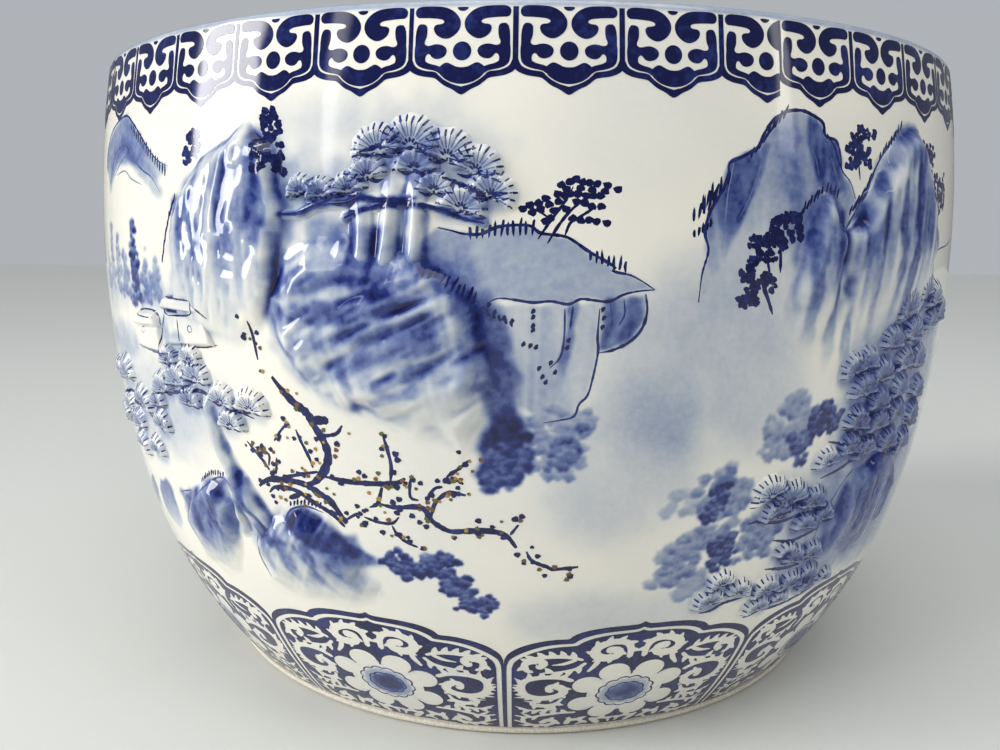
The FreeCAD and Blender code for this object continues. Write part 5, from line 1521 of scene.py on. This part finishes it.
for t, s in ((2.25, 50.6), (5.3, 42.6), (5.4, 27.2), (2.3, 19.4)):
    flowerDiscs += [(t, s, 6.6, 6.0), (-t, s, 6.6, 6.0)]


def discRing(t, s, wide, tall, count=22):
    angle = np.linspace(0, 2 * math.pi, count, endpoint=False)
    return np.stack([t + wide / 3.4 * np.cos(angle), s + tall * np.sin(angle)], -1)


openRings = [discRing(*disc) for disc in flowerDiscs]
for width, tips, path in scrolls:
    rings = [ribbonRing(path, width * 1.24, tips)]
    if len(path) > 3:
        line = smoothPath([(x * 0.9, s) for x, s in path], 4.2) / [0.9, 1.0]
        for n in range(1, len(line) - 1):
            step = (line[n + 1] - line[n - 1]) * lowScale
            step /= math.hypot(*step)
            ahead, behind = (line[n + 1] - line[n]) * lowScale, (line[n] - line[n - 1]) * lowScale
            bend = behind[0] * ahead[1] - behind[1] * ahead[0]
            way = -math.copysign(1, bend) if abs(bend) > 0.9 else (-1) ** n
            out = np.array([-step[1], step[0]]) * way
            foot = line[n] * lowScale
            barb = [foot - 1.9 * step - 0.4 * out, foot + 1.7 * step - 0.4 * out, foot + 1.6 * step + 1.6 * out,
                    foot + 1.9 * step + 3.9 * out, foot - 0.1 * step + 3.0 * out,
                    foot - 1.5 * step + 1.3 * out]
            rings.append(smoothRing(barb if way > 0 else barb[::-1], 1) / lowScale)
    for ring in rings:
        openRings += [ring, np.stack([-ring[::-1, 0], ring[::-1, 1]], -1)]


def lobes(corner, centre):
    # two brushed arcs that meet in a cusp
    return [tuple(p) for part in (corner, centre) for p in smoothPath(part, 1.5)]


archOut = lobes([(15.6, 60.5), (15.1, 64.6), (13.8, 68.6), (12.0, 71.4), (10.2, 72.9), (8.5, 73.2)],
                [(8.3, 73.5), (7.7, 75.6), (6.2, 77.8), (4.0, 79.0), (1.8, 79.3), (0.6, 79.6), (0, 80.9)])
archIn = lobes([(15.3, 57), (14.9, 61), (13.6, 65), (11.8, 68.4), (10.0, 70.1), (8.0, 70.6)],
               [(7.7, 70.9), (7.1, 72.8), (5.8, 74.9), (3.8, 76.2), (1.8, 76.6), (0.7, 76.8), (0, 77.9)])
groundTop = lobes([(14.75, 55), (14.4, 59.4), (13.2, 63.4), (11.5, 66.7), (9.7, 68.5), (7.7, 69.1)],
                  [(7.3, 69.4), (6.7, 71.2), (5.5, 73.2), (3.7, 74.5), (1.8, 75.0), (0.7, 75.2), (0, 76.2)])
groundHalf = [(14.75, s) for s in np.arange(4.6, 54, 4.4)] + groundTop
ground = np.array([(-x, s) for x, s in groundHalf[:-1]] + [tuple(p) for p in reversed(groundHalf)])


def onGround(x, s):
    inside = edgeDistance(x * 3.4, s, ground * lowScale) > 0
    for ring in openRings:
        inside &= edgeDistance(x * 3.4, s, ring * lowScale) < 0
    return inside


spread = np.stack(np.meshgrid(np.linspace(-13.5, 13.5, 13), np.linspace(7, 72, 13)), -1).reshape(-1, 2)
spread = spread[onGround(spread[:, 0], spread[:, 1])]
small = [np.array([(x - 0.02, s), (x + 0.02, s), (x, s + 0.05)]) for x, s in spread]
lowGround = fillRings([ground] + openRings + small, onGround)
outLine = [(15.65, s) for s in np.arange(4.4, 58, 4.4)] + archOut
inLine = [(15.35, s) for s in np.arange(4.4, 56, 4.4)] + archIn
arch = outLine + [(-x, s) for x, s in reversed(outLine[:-1])] + [(-x, s) for x,
    s in inLine[:-1]] + [tuple(p) for p in reversed(inLine)]
lowArch = fillRings([np.array(arch)])
lowInk = newInk()
for middle, squeeze in lowPanels:
    for points, triangles in (lowGround, lowArch):
        addShell(lowInk, points, triangles, inkTone(points[:, 0] * squeeze + middle, points[:, 1], 0.93), middle,
                 squeeze)
    for count, wide, tall in ((13, 11.6, 10.6), (9, 7.8, 6.8)):
        for k in range(count):
            angle = (k + np.linspace(-0.04, 1.04, 7)) / count * 2 * math.pi
            bulge = 1 + 0.11 * np.sin(np.linspace(0, math.pi, 7))
            stroke(lowInk, np.stack([middle + np.sin(angle) * wide / 3.34 * squeeze * bulge,
                                     35 + np.cos(angle) * tall * bulge], -1), 0.75, 0.86, (0.8, 0.8))
    for way in (-1, 1):
        for t, s, far, high in ((0, 50, 0, 58), (3.8, 46.5, 5.2, 51.5), (5.4, 35, 8.0, 35), (3.9, 23.5, 5.4, 18.6),
                                (0, 20, 0, 13)):
            stroke(lowInk, [(middle + way * t * squeeze, s), (middle + way * far * squeeze, high)], 0.6, 0.75)
    stroke(lowInk, [(middle, 48.6), (middle, 54), (middle, 60)], 3.4, 0.95, (0.5, 1.2))
print("lower border", lowInk["count"])

inkPiece(scenery, "sceneryInk")
inkPiece(needles, "needleInk", "relief")
inkPiece(plum, "branchInk")
for kind, ink in touches.items():
    inkPiece(ink, kind + "Dabs", kind)
inkPiece(rimInk, "rimBorder", "wall", True)
inkPiece(lowInk, "lowerBorder", "wall", True)

# Camera: looks down a little from near, as the photograph was taken.
yaw, pitch, roll = -0.0248, -0.1739, 0.0094
forward = Vector((math.sin(yaw) * math.cos(pitch), math.cos(yaw) * math.cos(pitch), math.sin(pitch)))
right = Vector((math.cos(yaw), -math.sin(yaw), 0.0))
up = right.cross(forward)
turnedRight = right * math.cos(roll) + up * math.sin(roll)
turnedUp = up * math.cos(roll) - right * math.sin(roll)
lens = bpy.data.cameras.new("camera")
lens.lens = 30.42
lens.sensor_width = 36.0
camera = bpy.data.objects.new("camera", lens)
place = (0.0, -0.5198, 0.2249)
camera.matrix_world = Matrix([(turnedRight[k], turnedUp[k], -forward[k], place[k]) for k in range(3)]
                             + [(0.0, 0.0, 0.0, 1.0)])
bpy.context.scene.collection.objects.link(camera)
bpy.context.scene.camera = camera
bpy.context.scene.view_settings.view_transform = "Standard"

# Floor and light.
floorMesh = bpy.data.meshes.new("floor")
floorMesh.from_pydata([(-4, -4, 0), (4, -4, 0), (4, 4, 0), (-4, 4, 0)], [], [(0, 1, 2, 3)])
floorMaterial, _, shader = newMaterial("paleFloor", 0.75)
shader.inputs["Base Color"].default_value = (0.62, 0.63, 0.6, 1.0)
floorMesh.materials.append(floorMaterial)
floor = bpy.data.objects.new("floor", floorMesh)
floor.location = (0, 0, -0.0005)
bpy.context.scene.collection.objects.link(floor)

world = bpy.data.worlds.new("studio")
bpy.context.scene.world = world
world.use_nodes = True
sky = world.node_tree


def skyNode(kind, values, operation=None):
    return addNode(sky, kind, values, operation)


def softPane(azimuth, elevation, halfWide, halfTall, blur):
    # 1 inside a window seen in a direction in degrees, falling softly to 0 round it
    around, rise = math.radians(azimuth), math.radians(elevation)
    ahead = Vector((math.sin(around) * math.cos(rise), -math.cos(around) * math.cos(rise), math.sin(rise)))
    across = Vector((math.cos(around), math.sin(around), 0.0))
    depth = skyNode("ShaderNodeVectorMath", (direction, ahead), "DOT_PRODUCT").outputs["Value"]
    mask = skyNode("ShaderNodeMath", (depth, 0.0), "GREATER_THAN").outputs[0]
    for axis, half in ((across, halfWide), (across.cross(ahead), halfTall)):
        part = skyNode("ShaderNodeVectorMath", (direction, axis), "DOT_PRODUCT").outputs["Value"]
        ratio = skyNode("ShaderNodeMath", (part, depth), "DIVIDE").outputs[0]
        far = skyNode("ShaderNodeMath", (ratio,), "ABSOLUTE").outputs[0]
        low, high = math.tan(math.radians(half - blur)), math.tan(math.radians(half + blur))
        fall = skyNode("ShaderNodeMapRange", (far, low, high, 1.0, 0.0))
        fall.interpolation_type = "SMOOTHSTEP"
        mask = skyNode("ShaderNodeMath", (mask, fall.outputs[0]), "MULTIPLY").outputs[0]
    return mask


direction = sky.nodes.new("ShaderNodeTexCoord").outputs["Generated"]
brightness = 0.0
for pane, strength in (((-80.0, 16.0, 9.0, 19.0, 1.2), 12.0), ((-48.0, 24.0, 1.6, 16.0, 0.8), 4.0),
                       ((66.0, 24.0, 2.0, 12.0, 0.8), 3.0)):
    brightness = skyNode("ShaderNodeMath", (softPane(*pane), strength, brightness), "MULTIPLY_ADD").outputs[0]
rays = sky.nodes.new("ShaderNodeLightPath")
unseen = skyNode("ShaderNodeMath", (1.0, rays.outputs["Is Camera Ray"]), "SUBTRACT").outputs[0]
brightness = skyNode("ShaderNodeMath", (brightness, unseen), "MULTIPLY").outputs[0]
dimmed = skyNode("ShaderNodeMath", (rays.outputs["Is Glossy Ray"], -0.55, 1.0), "MULTIPLY_ADD").outputs[0]
room = skyNode("ShaderNodeVectorMath", ((0.43, 0.45, 0.475), None, None, dimmed), "SCALE").outputs[0]
glow = skyNode("ShaderNodeVectorMath", ((1.0, 0.99, 0.97), None, None, brightness), "SCALE").outputs[0]
ambient = skyNode("ShaderNodeVectorMath", (glow, room), "ADD").outputs[0]
sky.links.new(ambient, sky.nodes["Background"].inputs["Color"])
sky.nodes["Background"].inputs["Strength"].default_value = 1.0


def softLight(name, place, target, wide, tall, power, colour, reflected=False):
    data = bpy.data.lights.new(name, "AREA")
    data.shape = "RECTANGLE"
    data.size = wide
    data.size_y = tall
    data.energy = power
    data.color = colour
    light = bpy.data.objects.new(name, data)
    light.location = place
    light.rotation_euler = (Vector(target) - Vector(place)).to_track_quat("-Z", "Y").to_euler()
    light.visible_glossy = reflected
    bpy.context.scene.collection.objects.link(light)


softLight("windowLeft", (-1.3, -1.15, 1.0), (0, 0, 0.2), 0.8, 1.2, 13.5, (1.0, 0.99, 0.97))
softLight("softTop", (0.2, -0.6, 1.9), (0, 0, 0.1), 1.6, 1.6, 15.0, (1.0, 1.0, 1.0), True)
softLight("fillRight", (1.5, -0.9, 0.8), (0, 0, 0.15), 0.7, 0.7, 3.5, (1.0, 0.96, 0.9))

print("scene ready")
